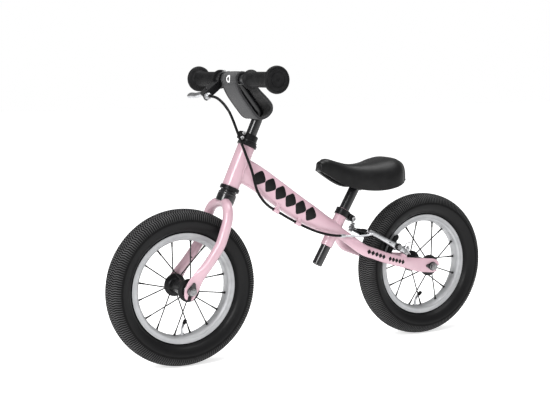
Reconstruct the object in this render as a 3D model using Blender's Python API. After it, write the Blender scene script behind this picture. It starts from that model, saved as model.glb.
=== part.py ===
"""Balance bike with small pneumatic wheels, a height-adjustable stem and saddle, and a rear rim brake.

Metres, +Z up, +X forward, +Y to the rider's left.  The origin is on the ground midway between the wheels.
"""
import math

import bmesh
import bpy
import numpy as np
from mathutils import Matrix, Vector

GAP = 0.0003
TUBE_WALL = 0.0018

# Wheels
WHEELBASE = 0.590
TYRE_RADIUS = 0.159
TYRE_HALF_WIDTH = 0.029
RIM_RADIUS = 0.112
RIM_HALF_WIDTH = 0.0145
RIM_INNER_RADIUS = 0.0965
HUB_FLANGE_RADIUS = 0.0235
HUB_FLANGE_Y = 0.034
HUB_BORE_RADIUS = 0.0076
AXLE_RADIUS = 0.0045
SPOKES_PER_SIDE = 8
SPOKE_RADIUS = 0.0011
SPOKE_OFFSET = math.radians(11.25)
REAR_WHEEL_TURN = math.radians(7.0)
WHEEL_SEGMENTS = 32

# Steering: the axis runs up and back through the head tube
HEAD_ANGLE = math.radians(65.4)
HEAD_BASE = Vector((0.1846, 0.0, 0.3564))
HEAD_TUBE_LENGTH = 0.0887
HEAD_TUBE_RADIUS = 0.018
STEERER_RADIUS = 0.0127
STEM_RADIUS = 0.0111
CROWN_RADIUS = 0.0194
CROWN_BOTTOM = -0.0345
FORK_LEG_RADIUS = 0.0104
DROPOUT_Y = 0.0445
DROPOUT_THICKNESS = 0.005

# Bars
BAR_CENTRE = Vector((0.172, 0.0, 0.5733))
BAR_RADIUS = 0.0111
BAR_HALF_LENGTH = 0.1715
GRIP_INNER_Y = 0.065
GRIP_END_Y = 0.1756
GRIP_RADIUS = 0.0152
PAD_HALF_WIDTH = 0.0325
PAD_THICKNESS = 0.0040

# Seat tube and post: the axis runs up and back from the post's lower end
SEAT_ANGLE = math.radians(59.45)
POST_END = Vector((-0.0220, 0.0, 0.1784))
POST_RADIUS = 0.0111
SEAT_TUBE_RADIUS = 0.0130
SEAT_TUBE_START = 0.045
SEAT_TUBE_END = 0.1335
POST_LENGTH = 0.2130

# Saddle: rows of (x, top, lower edge, half width) from nose to tail
SADDLE_NOSE = -0.0225
SADDLE_TAIL = -0.2290
SADDLE_ROWS = [
    (SADDLE_NOSE, 0.3905, 0.3835, 0.0070), (-0.0290, 0.4000, 0.3780, 0.0130),
    (-0.0420, 0.4050, 0.3700, 0.0175),
    (-0.0700, 0.3975, 0.3535, 0.0220), (-0.0930, 0.3922, 0.3435, 0.0280), (-0.1180, 0.3910, 0.3380, 0.0385),
    (-0.1440, 0.3940, 0.3365, 0.0520), (-0.1670, 0.3998, 0.3390, 0.0610), (-0.1900, 0.4040, 0.3440, 0.0620),
    (-0.2080, 0.4015, 0.3500, 0.0545), (-0.2220, 0.3950, 0.3550, 0.0380),
    (SADDLE_TAIL, 0.3860, 0.3590, 0.0230)]
COVER_WALL = 0.0060
COVER_THICKNESS = 0.0140
BASE_SHELL = 0.0035

# Rear brake: a radius line from the rear hub through the pads and the arm tips
BRAKE_LINE_ANGLE = math.radians(28.3)
BRAKE_PIVOT_RADIUS = 0.0800
BRAKE_PAD_RADIUS = 0.1055
BRAKE_TIP_RADIUS = 0.1830
BRAKE_PIVOT_Y = 0.0400
BRAKE_PAD_CLEARANCE = 0.0018
BOSS_TOP = -0.0076
CABLE_LINE_RADIUS = 0.1810
NOODLE_END_Y = 0.0240

# Brake lever, in the plane that holds the bar and this direction
LEVER_FORWARD = Vector((0.78, 0.0, -0.6258)).normalized()
LEVER_PIVOT_REACH = 0.042
LEVER_PIVOT_Y = -0.060
BARREL_REACH = 0.054
BARREL_MOUTH_Y = -0.0318
HOUSING_RADIUS = 0.0024

# Cable guides under the main tube: their centres, and how steeply the housing climbs forward there
GUIDE_Y = 0.0120
FRONT_GUIDE = Vector((0.0850, GUIDE_Y, 0.3030))
REAR_GUIDE = Vector((0.0325, GUIDE_Y, 0.2730))
GUIDE_CLIMB = math.radians(30)

UP = Vector((0.0, 0.0, 1.0))
LEFT = Vector((0.0, 1.0, 0.0))
STEER_AXIS = Vector((-math.cos(HEAD_ANGLE), 0.0, math.sin(HEAD_ANGLE)))
SEAT_AXIS = Vector((-math.cos(SEAT_ANGLE), 0.0, math.sin(SEAT_ANGLE)))
FRONT_HUB = Vector((WHEELBASE / 2, 0.0, TYRE_RADIUS))
REAR_HUB = Vector((-WHEELBASE / 2, 0.0, TYRE_RADIUS))
BRAKE_OUT = Vector((math.cos(BRAKE_LINE_ANGLE), 0.0, math.sin(BRAKE_LINE_ANGLE)))
BRAKE_AXIS = Vector((-math.sin(BRAKE_LINE_ANGLE), 0.0, math.cos(BRAKE_LINE_ANGLE)))
LEVER_AXIS = LEFT.cross(LEVER_FORWARD)


def steer_point(height, forward=0.0, left=0.0):
    """A point given by its height along the steering axis and its offsets from it."""
    ahead = Vector((STEER_AXIS.z, 0.0, -STEER_AXIS.x))
    return HEAD_BASE + STEER_AXIS * height + ahead * forward + LEFT * left


def seat_point(height):
    return POST_END + SEAT_AXIS * height


def brake_point(radius, left, up=0.0):
    """A point given by its distance from the rear hub along the brake line."""
    return REAR_HUB + BRAKE_OUT * radius + LEFT * left + BRAKE_AXIS * up


def lever_point(reach, left, up=0.0):
    """A point in the lever's plane, reach ahead of the bar's centre line."""
    return BAR_CENTRE + LEVER_FORWARD * reach + LEFT * left + LEVER_AXIS * up


# The brake cable's route: bars to head tube, head tube to the first guide, along the frame, then the noodle
HOUSING_TOP = [
    tuple(lever_point(BARREL_REACH, BARREL_MOUTH_Y - 0.0050)), tuple(lever_point(BARREL_REACH, -0.0280)),
    (0.2055, -0.0170, 0.5360), (0.1970, -0.0050, 0.5250), (0.1905, 0.0070, 0.5100)]
HOUSING_MIDDLE = [
    (0.1901, 0.0078, 0.5088), (0.1860, 0.0170, 0.4910), (0.1750, 0.0255, 0.4540), (0.1630, 0.0280, 0.4220),
    (0.1500, 0.0280, 0.3900), (0.1375, 0.0265, 0.3500), (0.1210, 0.0215, 0.3275), (0.1030, 0.0155, 0.3130),
    (0.0925, 0.0124, 0.3072)]
HOUSING_REAR = [
    (0.0919, 0.0123, 0.3068), (FRONT_GUIDE.x, GUIDE_Y, FRONT_GUIDE.z), (0.0600, GUIDE_Y, 0.2882),
    (REAR_GUIDE.x, GUIDE_Y, REAR_GUIDE.z), (0.0240, 0.0122, 0.2687), (0.0000, 0.0175, 0.2572),
    (-0.0240, 0.0215, 0.2485), (-0.0480, 0.0255, 0.2430), (-0.0700, 0.0300, 0.2410)]
NOODLE = [
    Vector((-0.0706, 0.0302, 0.2410)), Vector((-0.0860, 0.0365, 0.2403)), Vector((-0.1040, 0.0470, 0.2405)),
    Vector((-0.1190, 0.0570, 0.2435)), Vector((-0.1310, 0.0585, 0.2455)), Vector((-0.1345, 0.0510, 0.2452)),
    brake_point(CABLE_LINE_RADIUS, 0.0410), brake_point(CABLE_LINE_RADIUS, NOODLE_END_Y)]


# ---------------------------------------------------------------- tools

def clear_scene():
    for item in list(bpy.data.objects):
        bpy.data.objects.remove(item, do_unlink=True)


def material(name, colour, roughness, metallic=0.0):
    made = bpy.data.materials.new(name)
    made.use_nodes = True
    shader = made.node_tree.nodes["Principled BSDF"]
    shader.inputs["Base Color"].default_value = (*colour, 1.0)
    shader.inputs["Roughness"].default_value = roughness
    shader.inputs["Metallic"].default_value = metallic
    return made


def joint_empty(name, location, parent=None):
    """An empty on a joint's axis; the pieces that move with the joint are its children."""
    empty = bpy.data.objects.new(name, None)
    bpy.context.scene.collection.objects.link(empty)
    empty["world_location"] = tuple(location)
    start = Vector(parent["world_location"]) if parent else Vector((0.0, 0.0, 0.0))
    empty.parent = parent
    empty.location = location - start
    return empty


def add_object(name, bm, surface, parent, location=Vector((0.0, 0.0, 0.0)), turn=None):
    """Turns a bmesh into a named object, placed in world coordinates under its parent."""
    bmesh.ops.recalc_face_normals(bm, faces=bm.faces)
    mesh = bpy.data.meshes.new(name)
    bm.to_mesh(mesh)
    bm.free()
    mesh.shade_smooth()
    mesh.set_sharp_from_angle(angle=math.radians(35))
    made = bpy.data.objects.new(name, mesh)
    bpy.context.scene.collection.objects.link(made)
    if surface:
        mesh.materials.append(surface)
    else:
        made.hide_render = True
        made.display_type = "WIRE"
    start = Vector(parent["world_location"]) if parent else Vector((0.0, 0.0, 0.0))
    made.parent = parent
    made.location = location - start
    if turn:
        made.rotation_mode = "QUATERNION"
        made.rotation_quaternion = turn
    return made


def boolean(target, tool, operation, solver="EXACT"):
    step = target.modifiers.new(operation.lower(), "BOOLEAN")
    step.operation = operation
    step.object = tool
    step.solver = solver


def turned(name, outline, origin, axis, surface, parent, segments=16):
    """Spins an outline of (radius, height) points round an axis; the outline closes on itself."""
    bm = bmesh.new()
    points = [bm.verts.new((radius, 0.0, height)) for radius, height in outline]
    edges = []
    for here, there in zip(points, points[1:] + points[:1]):
        if here.co.x > 0.0 or there.co.x > 0.0:
            edges.append(bm.edges.new((here, there)))
    zero = (0.0, 0.0, 0.0)
    half_step = Matrix.Rotation(math.pi / segments, 3, "Z")
    bmesh.ops.rotate(bm, verts=points, cent=zero, matrix=half_step)
    bmesh.ops.spin(bm, geom=points + edges, cent=zero, axis=(0, 0, 1), dvec=zero,
                   angle=2 * math.pi, steps=segments, use_merge=True)
    bmesh.ops.remove_doubles(bm, verts=bm.verts, dist=1e-7)
    return add_object(name, bm, surface, parent, origin, UP.rotation_difference(axis))


def rod(name, start, end, radius, surface, parent, segments=12):
    """A plain round bar between two points."""
    length = (end - start).length
    outline = [(0.0, 0.0), (radius, 0.0), (radius, length), (0.0, length)]
    return turned(name, outline, start, (end - start).normalized(), surface, parent, segments)


def ring(name, inner, outer, start, end, surface, parent, segments=16):
    """A plain tube between two points."""
    length = (end - start).length
    outline = [(outer, 0.0), (outer, length), (inner, length), (inner, 0.0)]
    return turned(name, outline, start, (end - start).normalized(), surface, parent, segments)


def smooth_stations(stations, step):
    """A smooth curve through rows of numbers, whose first three columns are a position."""
    rows = np.array(stations, dtype=float)
    padded = np.vstack([2 * rows[0] - rows[1], rows, 2 * rows[-1] - rows[-2]])
    result = []
    for index in range(1, len(padded) - 2):
        before, here, there, after = padded[index - 1:index + 3]
        count = max(1, round(float(np.linalg.norm((there - here)[:3])) / step))
        for part in range(count):
            t = part / count
            result.append(0.5 * (2 * here + (there - before) * t
                                 + (2 * before - 5 * here + 4 * there - after) * t ** 2
                                 + (3 * here - before - 3 * there + after) * t ** 3))
    result.append(rows[-1])
    return result


def swept(name, stations, surface, parent, side=LEFT, sides=16, squareness=1.0):
    """Lofts a closed tube through rows of (x, y, z, half width along side, half height)."""
    bm = bmesh.new()
    centres = [Vector(row[:3]) for row in stations]
    loops = []
    for index, row in enumerate(stations):
        ahead = centres[min(index + 1, len(centres) - 1)] - centres[max(index - 1, 0)]
        ahead.normalize()
        across = (side - ahead * side.dot(ahead)).normalized()
        upward = ahead.cross(across)
        loop = []
        for corner in range(sides):
            angle = 2 * math.pi * (corner + 0.5) / sides
            width = math.copysign(abs(math.cos(angle)) ** squareness, math.cos(angle))
            height = math.copysign(abs(math.sin(angle)) ** squareness, math.sin(angle))
            loop.append(bm.verts.new(centres[index] + across * row[3] * width + upward * row[4] * height))
        loops.append(loop)
    for first, second in zip(loops, loops[1:]):
        for corner in range(sides):
            following = (corner + 1) % sides
            bm.faces.new((first[corner], first[following], second[following], second[corner]))
    bm.faces.new(loops[0])
    bm.faces.new(loops[-1])
    return add_object(name, bm, surface, parent)


def bore_stations(stations, wall, open_end=True):
    """The stations of a tube's inside: thinner all round, and run past its start and its open end."""
    inner = [[row[0], row[1], row[2], row[3] - wall, row[4] - wall] for row in stations]
    ends = [(0, 1)] + ([(-1, -2)] if open_end else [])
    for end, neighbour in ends:
        step = Vector(stations[end][:3]) - Vector(stations[neighbour][:3])
        inner[end][:3] = Vector(stations[end][:3]) + step.normalized() * 0.003
    return inner


def plate(name, outline, start, thickness, surface, parent, across, upward):
    """Extrudes a flat outline of (across, upward) points from start along their normal."""
    bm = bmesh.new()
    normal = across.cross(upward)
    corners = [bm.verts.new(start + across * a + upward * b) for a, b in outline]
    face = bm.faces.new(corners)
    grown = bmesh.ops.extrude_face_region(bm, geom=[face])
    moved = [item for item in grown["geom"] if isinstance(item, bmesh.types.BMVert)]
    bmesh.ops.translate(bm, verts=moved, vec=normal * thickness)
    return add_object(name, bm, surface, parent)


def arc(centre_a, centre_b, radius, start, end, count):
    """Points on an arc in a plate's own plane, angles in degrees."""
    points = []
    for index in range(count):
        angle = math.radians(start + (end - start) * index / (count - 1))
        points.append((centre_a + radius * math.cos(angle), centre_b + radius * math.sin(angle)))
    return points


def cord(name, route, radius, surface, parent, step):
    """A flexible round cord on a smooth curve through its route's points."""
    curve = bpy.data.curves.new(name, "CURVE")
    curve.dimensions = "3D"
    curve.bevel_depth = radius
    curve.bevel_resolution = 2
    curve.use_fill_caps = True
    points = smooth_stations(route, step)
    spline = curve.splines.new("POLY")
    spline.points.add(len(points) - 1)
    start = Vector(parent["world_location"])
    for point, row in zip(spline.points, points):
        point.co = (*(Vector(row[:3]) - start), 1.0)
    curve.materials.append(surface)
    made = bpy.data.objects.new(name, curve)
    bpy.context.scene.collection.objects.link(made)
    made.parent = parent
    return made


# ---------------------------------------------------------------- materials

def make_materials():
    return {
        "pink": material("pink_paint", (0.86, 0.52, 0.64), 0.30),
        "black": material("black_metal", (0.02, 0.02, 0.02), 0.35, 0.2),
        "plastic": material("black_plastic", (0.03, 0.03, 0.03), 0.55),
        "rubber": material("black_rubber", (0.03, 0.03, 0.03), 0.85),
        "silver": material("silver_alloy", (0.75, 0.76, 0.78), 0.30, 1.0),
        "steel": material("bright_steel", (0.70, 0.70, 0.72), 0.25, 1.0),
        "fabric": material("grey_fabric", (0.08, 0.08, 0.09), 0.90),
    }


# ---------------------------------------------------------------- wheels

def tyre_outline():
    """Cross-section of a tyre's carcass, open to the rim, as (radius, height) points."""
    outer = [(0.1043, 0.0121), (0.1127, 0.0121), (0.1210, 0.0238), (0.1340, TYRE_HALF_WIDTH),
             (0.1500, 0.0245), (TYRE_RADIUS, 0.0080)]
    inner = [(0.1043, 0.0093), (0.1145, 0.0108), (0.1325, 0.0258), (0.1542, 0.0110)]
    lower_outer = [(radius, -height) for radius, height in outer]
    lower_inner = [(radius, -height) for radius, height in inner]
    return outer + lower_outer[::-1] + lower_inner + inner[::-1]


def rim_outline():
    edge = RIM_HALF_WIDTH
    wall = edge - 0.002
    half = [(RIM_RADIUS, edge), (0.1030, edge), (RIM_INNER_RADIUS, 0.0080)]
    inside = [(0.0985, 0.0070), (0.1034, wall), (RIM_RADIUS, wall)]
    return (half + [(radius, -height) for radius, height in half[::-1]]
            + [(radius, -height) for radius, height in inside[::-1]] + inside)


def facet_true(outline, segments):
    """Grows radii so that the flats of the turned shape, not its corners, hold them."""
    grow = 1.0 / math.cos(math.pi / segments)
    return [(radius * grow, height) for radius, height in outline]


def wheel_direction(angle):
    return Vector((math.cos(angle), 0.0, math.sin(angle)))


def valve_stations(hub, angle):
    """The valve comes straight out of the rim, then bends towards the left side."""
    out = wheel_direction(angle)
    points = [(0.1190, 0.0), (0.1000, 0.0), (0.0860, 0.0), (0.0790, 0.0018), (0.0745, 0.0055),
              (0.0685, 0.0115)]
    return [hub + out * radius + LEFT * left for radius, left in points]


def build_wheel(prefix, hub, turn, surfaces, parent):
    valve_angle = math.radians(-90) + turn
    tyre = facet_true(tyre_outline(), WHEEL_SEGMENTS)
    turned(prefix + "_tyre", tyre, hub, LEFT, surfaces["rubber"], parent, WHEEL_SEGMENTS)
    rim_shape = facet_true(rim_outline(), WHEEL_SEGMENTS)
    rim = turned(prefix + "_rim", rim_shape, hub, LEFT, surfaces["silver"], parent, WHEEL_SEGMENTS)
    out = wheel_direction(valve_angle)
    hole = rod(prefix + "_valve_hole", hub + out * 0.090, hub + out * 0.106, 0.0042, None, parent)
    boolean(rim, hole, "DIFFERENCE")
    build_inner_tube(prefix, hub, valve_angle, surfaces, parent)
    build_hub(prefix, hub, turn, surfaces, parent)


def tube_section(centre, tall, wide, sides=6):
    """An oval cross-section of the inner tube, away from the axis."""
    return [(centre + tall * math.cos(2 * math.pi * (k + 0.5) / sides),
             wide * math.sin(2 * math.pi * (k + 0.5) / sides)) for k in range(sides)]


def build_inner_tube(prefix, hub, valve_angle, surfaces, parent):
    """A thin air tube with its bent valve; the valve's bore opens into the hollow."""
    name = prefix + "_inner_tube"
    tube = turned(name, tube_section(0.1315, 0.0180, 0.0165), hub, LEFT, surfaces["rubber"], parent, 20)
    route = valve_stations(hub, valve_angle)
    side = LEFT.cross(wheel_direction(valve_angle))
    stem = swept(name + "_valve", [(*point, 0.0030, 0.0030) for point in route], None, parent, side, 6)
    hollow = turned(name + "_hollow", tube_section(0.1315, 0.0168, 0.0153), hub, LEFT, None, parent, 20)
    end = route[-1] + (route[-1] - route[-2]) * 0.3
    deep = hub + wheel_direction(valve_angle) * 0.1230
    bore_route = [deep] + route[1:-1] + [end]
    bore = swept(name + "_bore", [(*point, 0.0012, 0.0012) for point in bore_route], None, parent, side, 6)
    boolean(tube, stem, "UNION")
    boolean(tube, hollow, "DIFFERENCE")
    boolean(tube, bore, "DIFFERENCE")


def build_hub(prefix, hub, turn, surfaces, parent):
    """A flanged shell with the spokes laced straight out of both flanges."""
    flange, waist = HUB_FLANGE_RADIUS, 0.0130
    half = [(HUB_BORE_RADIUS, 0.0375), (0.0125, 0.0375), (flange - 0.002, 0.0360), (flange, 0.0350),
            (flange, 0.0320), (waist, 0.0290)]
    shape = half + [(radius, -height) for radius, height in half[::-1]]
    shell = turned(prefix + "_hub", shape, hub, LEFT, surfaces["black"], parent, 12)
    bm = bmesh.new()
    for flange_side in (1, -1):
        for index in range(SPOKES_PER_SIDE):
            angle = math.radians(-90) + turn + flange_side * SPOKE_OFFSET + index * math.radians(45)
            out = wheel_direction(angle)
            start = out * 0.0190 + LEFT * flange_side * (HUB_FLANGE_Y - 0.0004)
            end = out * (RIM_INNER_RADIUS - 0.0006) + LEFT * flange_side * 0.0035
            add_spoke(bm, start, end)
    boolean(shell, add_object(prefix + "_spoke_shapes", bm, None, parent, hub), "UNION")


def add_spoke(bm, start, end):
    made = bmesh.ops.create_cone(bm, cap_ends=True, segments=5, radius1=SPOKE_RADIUS,
                                 radius2=SPOKE_RADIUS, depth=(end - start).length)
    turn = UP.rotation_difference((end - start).normalized()).to_matrix()
    bmesh.ops.rotate(bm, verts=made["verts"], cent=(0, 0, 0), matrix=turn)
    bmesh.ops.translate(bm, verts=made["verts"], vec=(start + end) / 2)


def build_axle(prefix, hub, surfaces, parent):
    """The axle with its bearing cones, and on each side a tab washer and a nut."""
    cone, lock = 0.0072, 0.0088
    half = [(0.0, 0.0585), (AXLE_RADIUS, 0.0585), (AXLE_RADIUS, 0.0417), (lock, 0.0417),
            (lock, 0.0380), (cone, 0.0380), (cone, 0.0290), (AXLE_RADIUS, 0.0290)]
    shape = half + [(radius, -height) for radius, height in half[::-1]]
    turned(prefix + "_axle", shape, hub, LEFT, surfaces["steel"], parent, 12)
    dropout_face = DROPOUT_Y + DROPOUT_THICKNESS / 2
    for word, way in (("left", 1), ("right", -1)):
        side = LEFT * way
        face = hub + side * (dropout_face + GAP)
        build_tab_washer(f"{prefix}_{word}_washer", hub, face, side, surfaces, parent)
        seat = hub + side * (dropout_face + 2 * GAP + 0.0020)
        outline = [(AXLE_RADIUS + GAP, 0.0), (0.0086, 0.0), (0.0086, 0.0015), (0.0074, 0.0020),
                   (0.0074, 0.0068), (0.0066, 0.0074), (AXLE_RADIUS + GAP, 0.0074)]
        turned(f"{prefix}_{word}_nut", outline, seat, side, surfaces["steel"], parent, 12)


def build_tab_washer(name, hub, face, side, surfaces, parent):
    """A washer with one long pointed tab; the tab lies against the dropout."""
    if hub.x > 0:
        point = Vector((-0.35, 0.0, 0.94)).normalized()
    else:
        point = Vector((1.0, 0.0, 0.13)).normalized()
    upward = side.cross(point)
    outline = arc(0, 0, 0.0098, 55, 305, 11) + [(0.0150, -0.0040), (0.0185, 0.0), (0.0150, 0.0040)]
    washer = plate(name, outline, face, 0.0020, surfaces["black"], parent, point, upward)
    hole = rod(name + "_hole", hub + side * 0.03, hub + side * 0.07, AXLE_RADIUS + GAP, None, parent, 16)
    boolean(washer, hole, "DIFFERENCE")


# ---------------------------------------------------------------- frame

def axle_slot(name, hub, direction, parent):
    """A cutter for the open slot that the axle slides into."""
    half = AXLE_RADIUS + 0.0004
    upward = LEFT.cross(direction)
    outline = arc(0, 0, half, 90, 270, 7) + [(0.060, -half), (0.060, half)]
    return plate(name, outline, hub - LEFT * 0.08, 0.16, None, parent, direction, upward)


def build_frame(surfaces, parent):
    pink = surfaces["pink"]
    top = HEAD_TUBE_LENGTH
    ring("head_tube", 0.0156, HEAD_TUBE_RADIUS, steer_point(0), steer_point(top), pink, parent, 20)
    seat_start, seat_end = seat_point(SEAT_TUBE_START), seat_point(SEAT_TUBE_END)
    ring("seat_tube", POST_RADIUS + 0.0004, SEAT_TUBE_RADIUS, seat_start, seat_end, pink, parent, 16)
    build_main_tube(pink, parent)
    for word, way in (("left", 1), ("right", -1)):
        build_chainstay(word, way, pink, parent)


def head_clearance(parent):
    start, end = steer_point(-0.02), steer_point(0.11)
    return rod("head_clearance", start, end, HEAD_TUBE_RADIUS + GAP, None, parent, 20)


def seat_clearance(parent):
    start, end = seat_point(0.02), seat_point(0.15)
    return rod("seat_clearance", start, end, SEAT_TUBE_RADIUS + GAP, None, parent, 16)


def main_tube_stations():
    """A tall oval that slims and flattens out towards the seat tube."""
    return smooth_stations([
        (0.1675, 0, 0.3932, 0.0165, 0.0258), (0.1450, 0, 0.3832, 0.0175, 0.0257),
        (0.1195, 0, 0.3680, 0.0190, 0.0255),
        (0.083, 0, 0.3426, 0.0200, 0.0255), (0.034, 0, 0.3085, 0.0200, 0.0250),
        (-0.006, 0, 0.2840, 0.0198, 0.0228), (-0.038, 0, 0.2650, 0.0196, 0.0195),
        (-0.070, 0, 0.2490, 0.0190, 0.0165)], 0.024)


def build_main_tube(pink, parent):
    """The hollow main tube, notched for the head tube and the seat tube, with two cable guides under it."""
    stations = main_tube_stations()
    tube = swept("main_tube", stations, pink, parent, LEFT, 16)
    direction = Vector((math.cos(GUIDE_CLIMB), 0.0, math.sin(GUIDE_CLIMB)))
    upward = Vector((-math.sin(GUIDE_CLIMB), 0.0, math.cos(GUIDE_CLIMB)))
    for word, centre in (("front", FRONT_GUIDE), ("rear", REAR_GUIDE)):
        body = rod(f"{word}_guide_body", centre - direction * 0.0065, centre + direction * 0.0065, 0.0050,
                   None, parent, 12)
        lug = rod(f"{word}_guide_lug", centre, centre + upward * 0.0150, 0.0036, None, parent, 8)
        boolean(tube, lug, "UNION", "MANIFOLD")
        boolean(tube, body, "UNION", "MANIFOLD")
        bore = rod(f"{word}_guide_bore", centre - direction * 0.02, centre + direction * 0.02,
                   HOUSING_RADIUS + 0.0007, None, parent, 12)
        boolean(tube, bore, "DIFFERENCE", "MANIFOLD")
    inside = swept("main_tube_inside", bore_stations(stations, TUBE_WALL), None, parent, LEFT, 16)
    boolean(tube, inside, "DIFFERENCE", "MANIFOLD")
    boolean(tube, head_clearance(parent), "DIFFERENCE", "MANIFOLD")
    boolean(tube, seat_clearance(parent), "DIFFERENCE", "MANIFOLD")


def main_tube_clearance(parent):
    """A cutter a gap larger than the main tube, which leaves the stays butted against its rear end."""
    rows = [[*row[:3], row[3] + GAP, row[4] + GAP] for row in main_tube_stations()]
    end = Vector(rows[-1][:3]) + (Vector(rows[-1][:3]) - Vector(rows[-2][:3])).normalized() * GAP
    rows[-1][:3] = end
    return swept("main_tube_clearance", rows, None, parent, LEFT, 16)


def build_chainstay(word, way, pink, parent):
    """One stay from the main tube's end out round the tyre to a flattened dropout, with a brake boss."""
    stations = smooth_stations([
        (-0.0700, way * 0.0110, 0.2480, 0.0080, 0.0110),
        (-0.0840, way * 0.0145, 0.2370, 0.0085, 0.0115), (-0.0980, way * 0.0270, 0.2235, 0.0090, 0.0118),
        (-0.1170, way * 0.0390, 0.2080, 0.0092, 0.0118), (-0.1420, way * 0.0455, 0.1980, 0.0088, 0.0118),
        (-0.1750, way * 0.0465, 0.1860, 0.0085, 0.0118), (-0.2170, way * 0.0460, 0.1742, 0.0080, 0.0120),
        (-0.2440, way * 0.0450, 0.1676, 0.0046, 0.0140)], 0.016)
    bore = bore_stations(stations[:-2], TUBE_WALL, False)
    flat = DROPOUT_THICKNESS / 2
    tail = [(-0.2620, 0.1640, 0.0152), (-0.2950, 0.1600, 0.0155), (-0.3080, 0.1570, 0.0140),
            (-0.3130, 0.1560, 0.0100)]
    stations += [(x, way * DROPOUT_Y, z, flat, half) for x, z, half in tail]
    stay = swept(f"{word}_chainstay", stations, pink, parent, LEFT, 12)
    inside = swept(f"{word}_chainstay_inside", bore, None, parent, LEFT, 12)
    boolean(stay, inside, "DIFFERENCE", "MANIFOLD")
    boss_base = brake_point(BRAKE_PIVOT_RADIUS, way * (BRAKE_PIVOT_Y + 0.0015), -0.0200)
    boss_top = brake_point(BRAKE_PIVOT_RADIUS, way * (BRAKE_PIVOT_Y + 0.0015), BOSS_TOP)
    boss = rod(f"{word}_boss_shape", boss_base, boss_top, 0.0082, None, parent, 12)
    boolean(stay, boss, "UNION", "MANIFOLD")
    stud = rod(f"{word}_boss_bore", brake_point(BRAKE_PIVOT_RADIUS, way * BRAKE_PIVOT_Y, -0.0160),
               brake_point(BRAKE_PIVOT_RADIUS, way * BRAKE_PIVOT_Y, 0.02), 0.0033, None, parent, 12)
    boolean(stay, stud, "DIFFERENCE", "MANIFOLD")
    slot = axle_slot(f"{word}_rear_slot", REAR_HUB, Vector((-1.0, 0.0, -0.35)).normalized(), parent)
    boolean(stay, slot, "DIFFERENCE", "MANIFOLD")
    boolean(stay, main_tube_clearance(parent), "DIFFERENCE", "MANIFOLD")
    boolean(stay, seat_clearance(parent), "DIFFERENCE", "MANIFOLD")


def build_headset(surfaces, frame):
    """Cups pressed into the head tube, and the bearings in the cups."""
    black, steel = surfaces["black"], surfaces["steel"]
    lower = [(0.0154, 0.0100), (0.0154, -GAP), (0.0207, -GAP), (0.0207, -0.0080), (0.0192, -0.0085),
             (0.0183, -0.0085), (0.0183, -0.0022), (0.0140, -0.0022), (0.0140, 0.0100)]
    turned("lower_headset_cup", lower, steer_point(0), STEER_AXIS, black, frame, 20)
    top = HEAD_TUBE_LENGTH
    upper = [(0.0140, -0.0100), (0.0140, 0.0022), (0.0183, 0.0022), (0.0183, 0.0075), (0.0196, 0.0075),
             (0.0207, 0.0068), (0.0207, GAP), (0.0154, GAP), (0.0154, -0.0100)]
    turned("upper_headset_cup", upper[::-1], steer_point(top), STEER_AXIS, black, frame, 20)
    inner, outer = STEERER_RADIUS + 0.0005, 0.0178
    ring("lower_bearing", inner, outer, steer_point(-0.0078), steer_point(-0.0026), steel, frame)
    ring("upper_bearing", inner, outer, steer_point(top + 0.0026), steer_point(top + 0.0070), steel, frame)


def build_seat_clamp(surfaces, parent):
    """A split collar round the seat tube's top, with ears and a bolt at the back."""
    black = surfaces["black"]
    low, high = seat_point(0.1180), seat_point(0.1325)
    collar = ring("seat_clamp", SEAT_TUBE_RADIUS + GAP, 0.0160, low, high, black, parent, 16)
    back = Vector((-SEAT_AXIS.z, 0.0, SEAT_AXIS.x))
    height = (high - low).length
    outline = [(0.0145, 0.0), (0.0260, 0.0)] + arc(0.0260, height / 2, height / 2, -60, 60, 5)
    outline += [(0.0260, height), (0.0145, height)]
    ears = plate("seat_clamp_ears", outline, low - LEFT * 0.0085, 0.0170, None, parent, back, SEAT_AXIS)
    boolean(collar, ears, "UNION")
    middle = seat_point(0.12525) + back * 0.0262
    slit = plate("seat_clamp_slit", [(0.012, -0.002), (0.040, -0.002), (0.040, 0.0165), (0.012, 0.0165)],
                 low - LEFT * 0.0010, 0.0020, None, parent, back, SEAT_AXIS)
    boolean(collar, slit, "DIFFERENCE")
    bore = rod("seat_clamp_bore", middle - LEFT * 0.02, middle + LEFT * 0.02, 0.0028, None, parent)
    boolean(collar, bore, "DIFFERENCE")
    head = [(0.0, -0.0130), (0.0023, -0.0130), (0.0023, 0.0088), (0.0046, 0.0088), (0.0046, 0.0132),
            (0.0030, 0.0138), (0.0, 0.0138)]
    turned("seat_clamp_bolt", head, middle, LEFT, surfaces["steel"], parent, 12)


# ---------------------------------------------------------------- fork and bars

def build_fork(surfaces, parent):
    bore = STEM_RADIUS + 0.0004
    crown, race, shaft = CROWN_RADIUS, 0.0168, STEERER_RADIUS
    outline = [(crown, CROWN_BOTTOM), (crown, -0.0150), (crown - 0.0012, -0.0138), (race, -0.0138),
               (race, -0.0090), (shaft, -0.0086), (shaft, 0.1050), (bore, 0.1050), (bore, CROWN_BOTTOM)]
    turned("fork_crown", outline, steer_point(0), STEER_AXIS, surfaces["black"], parent, 20)
    for word, way in (("left", 1), ("right", -1)):
        build_fork_leg(word, way, surfaces["pink"], parent)


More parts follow.
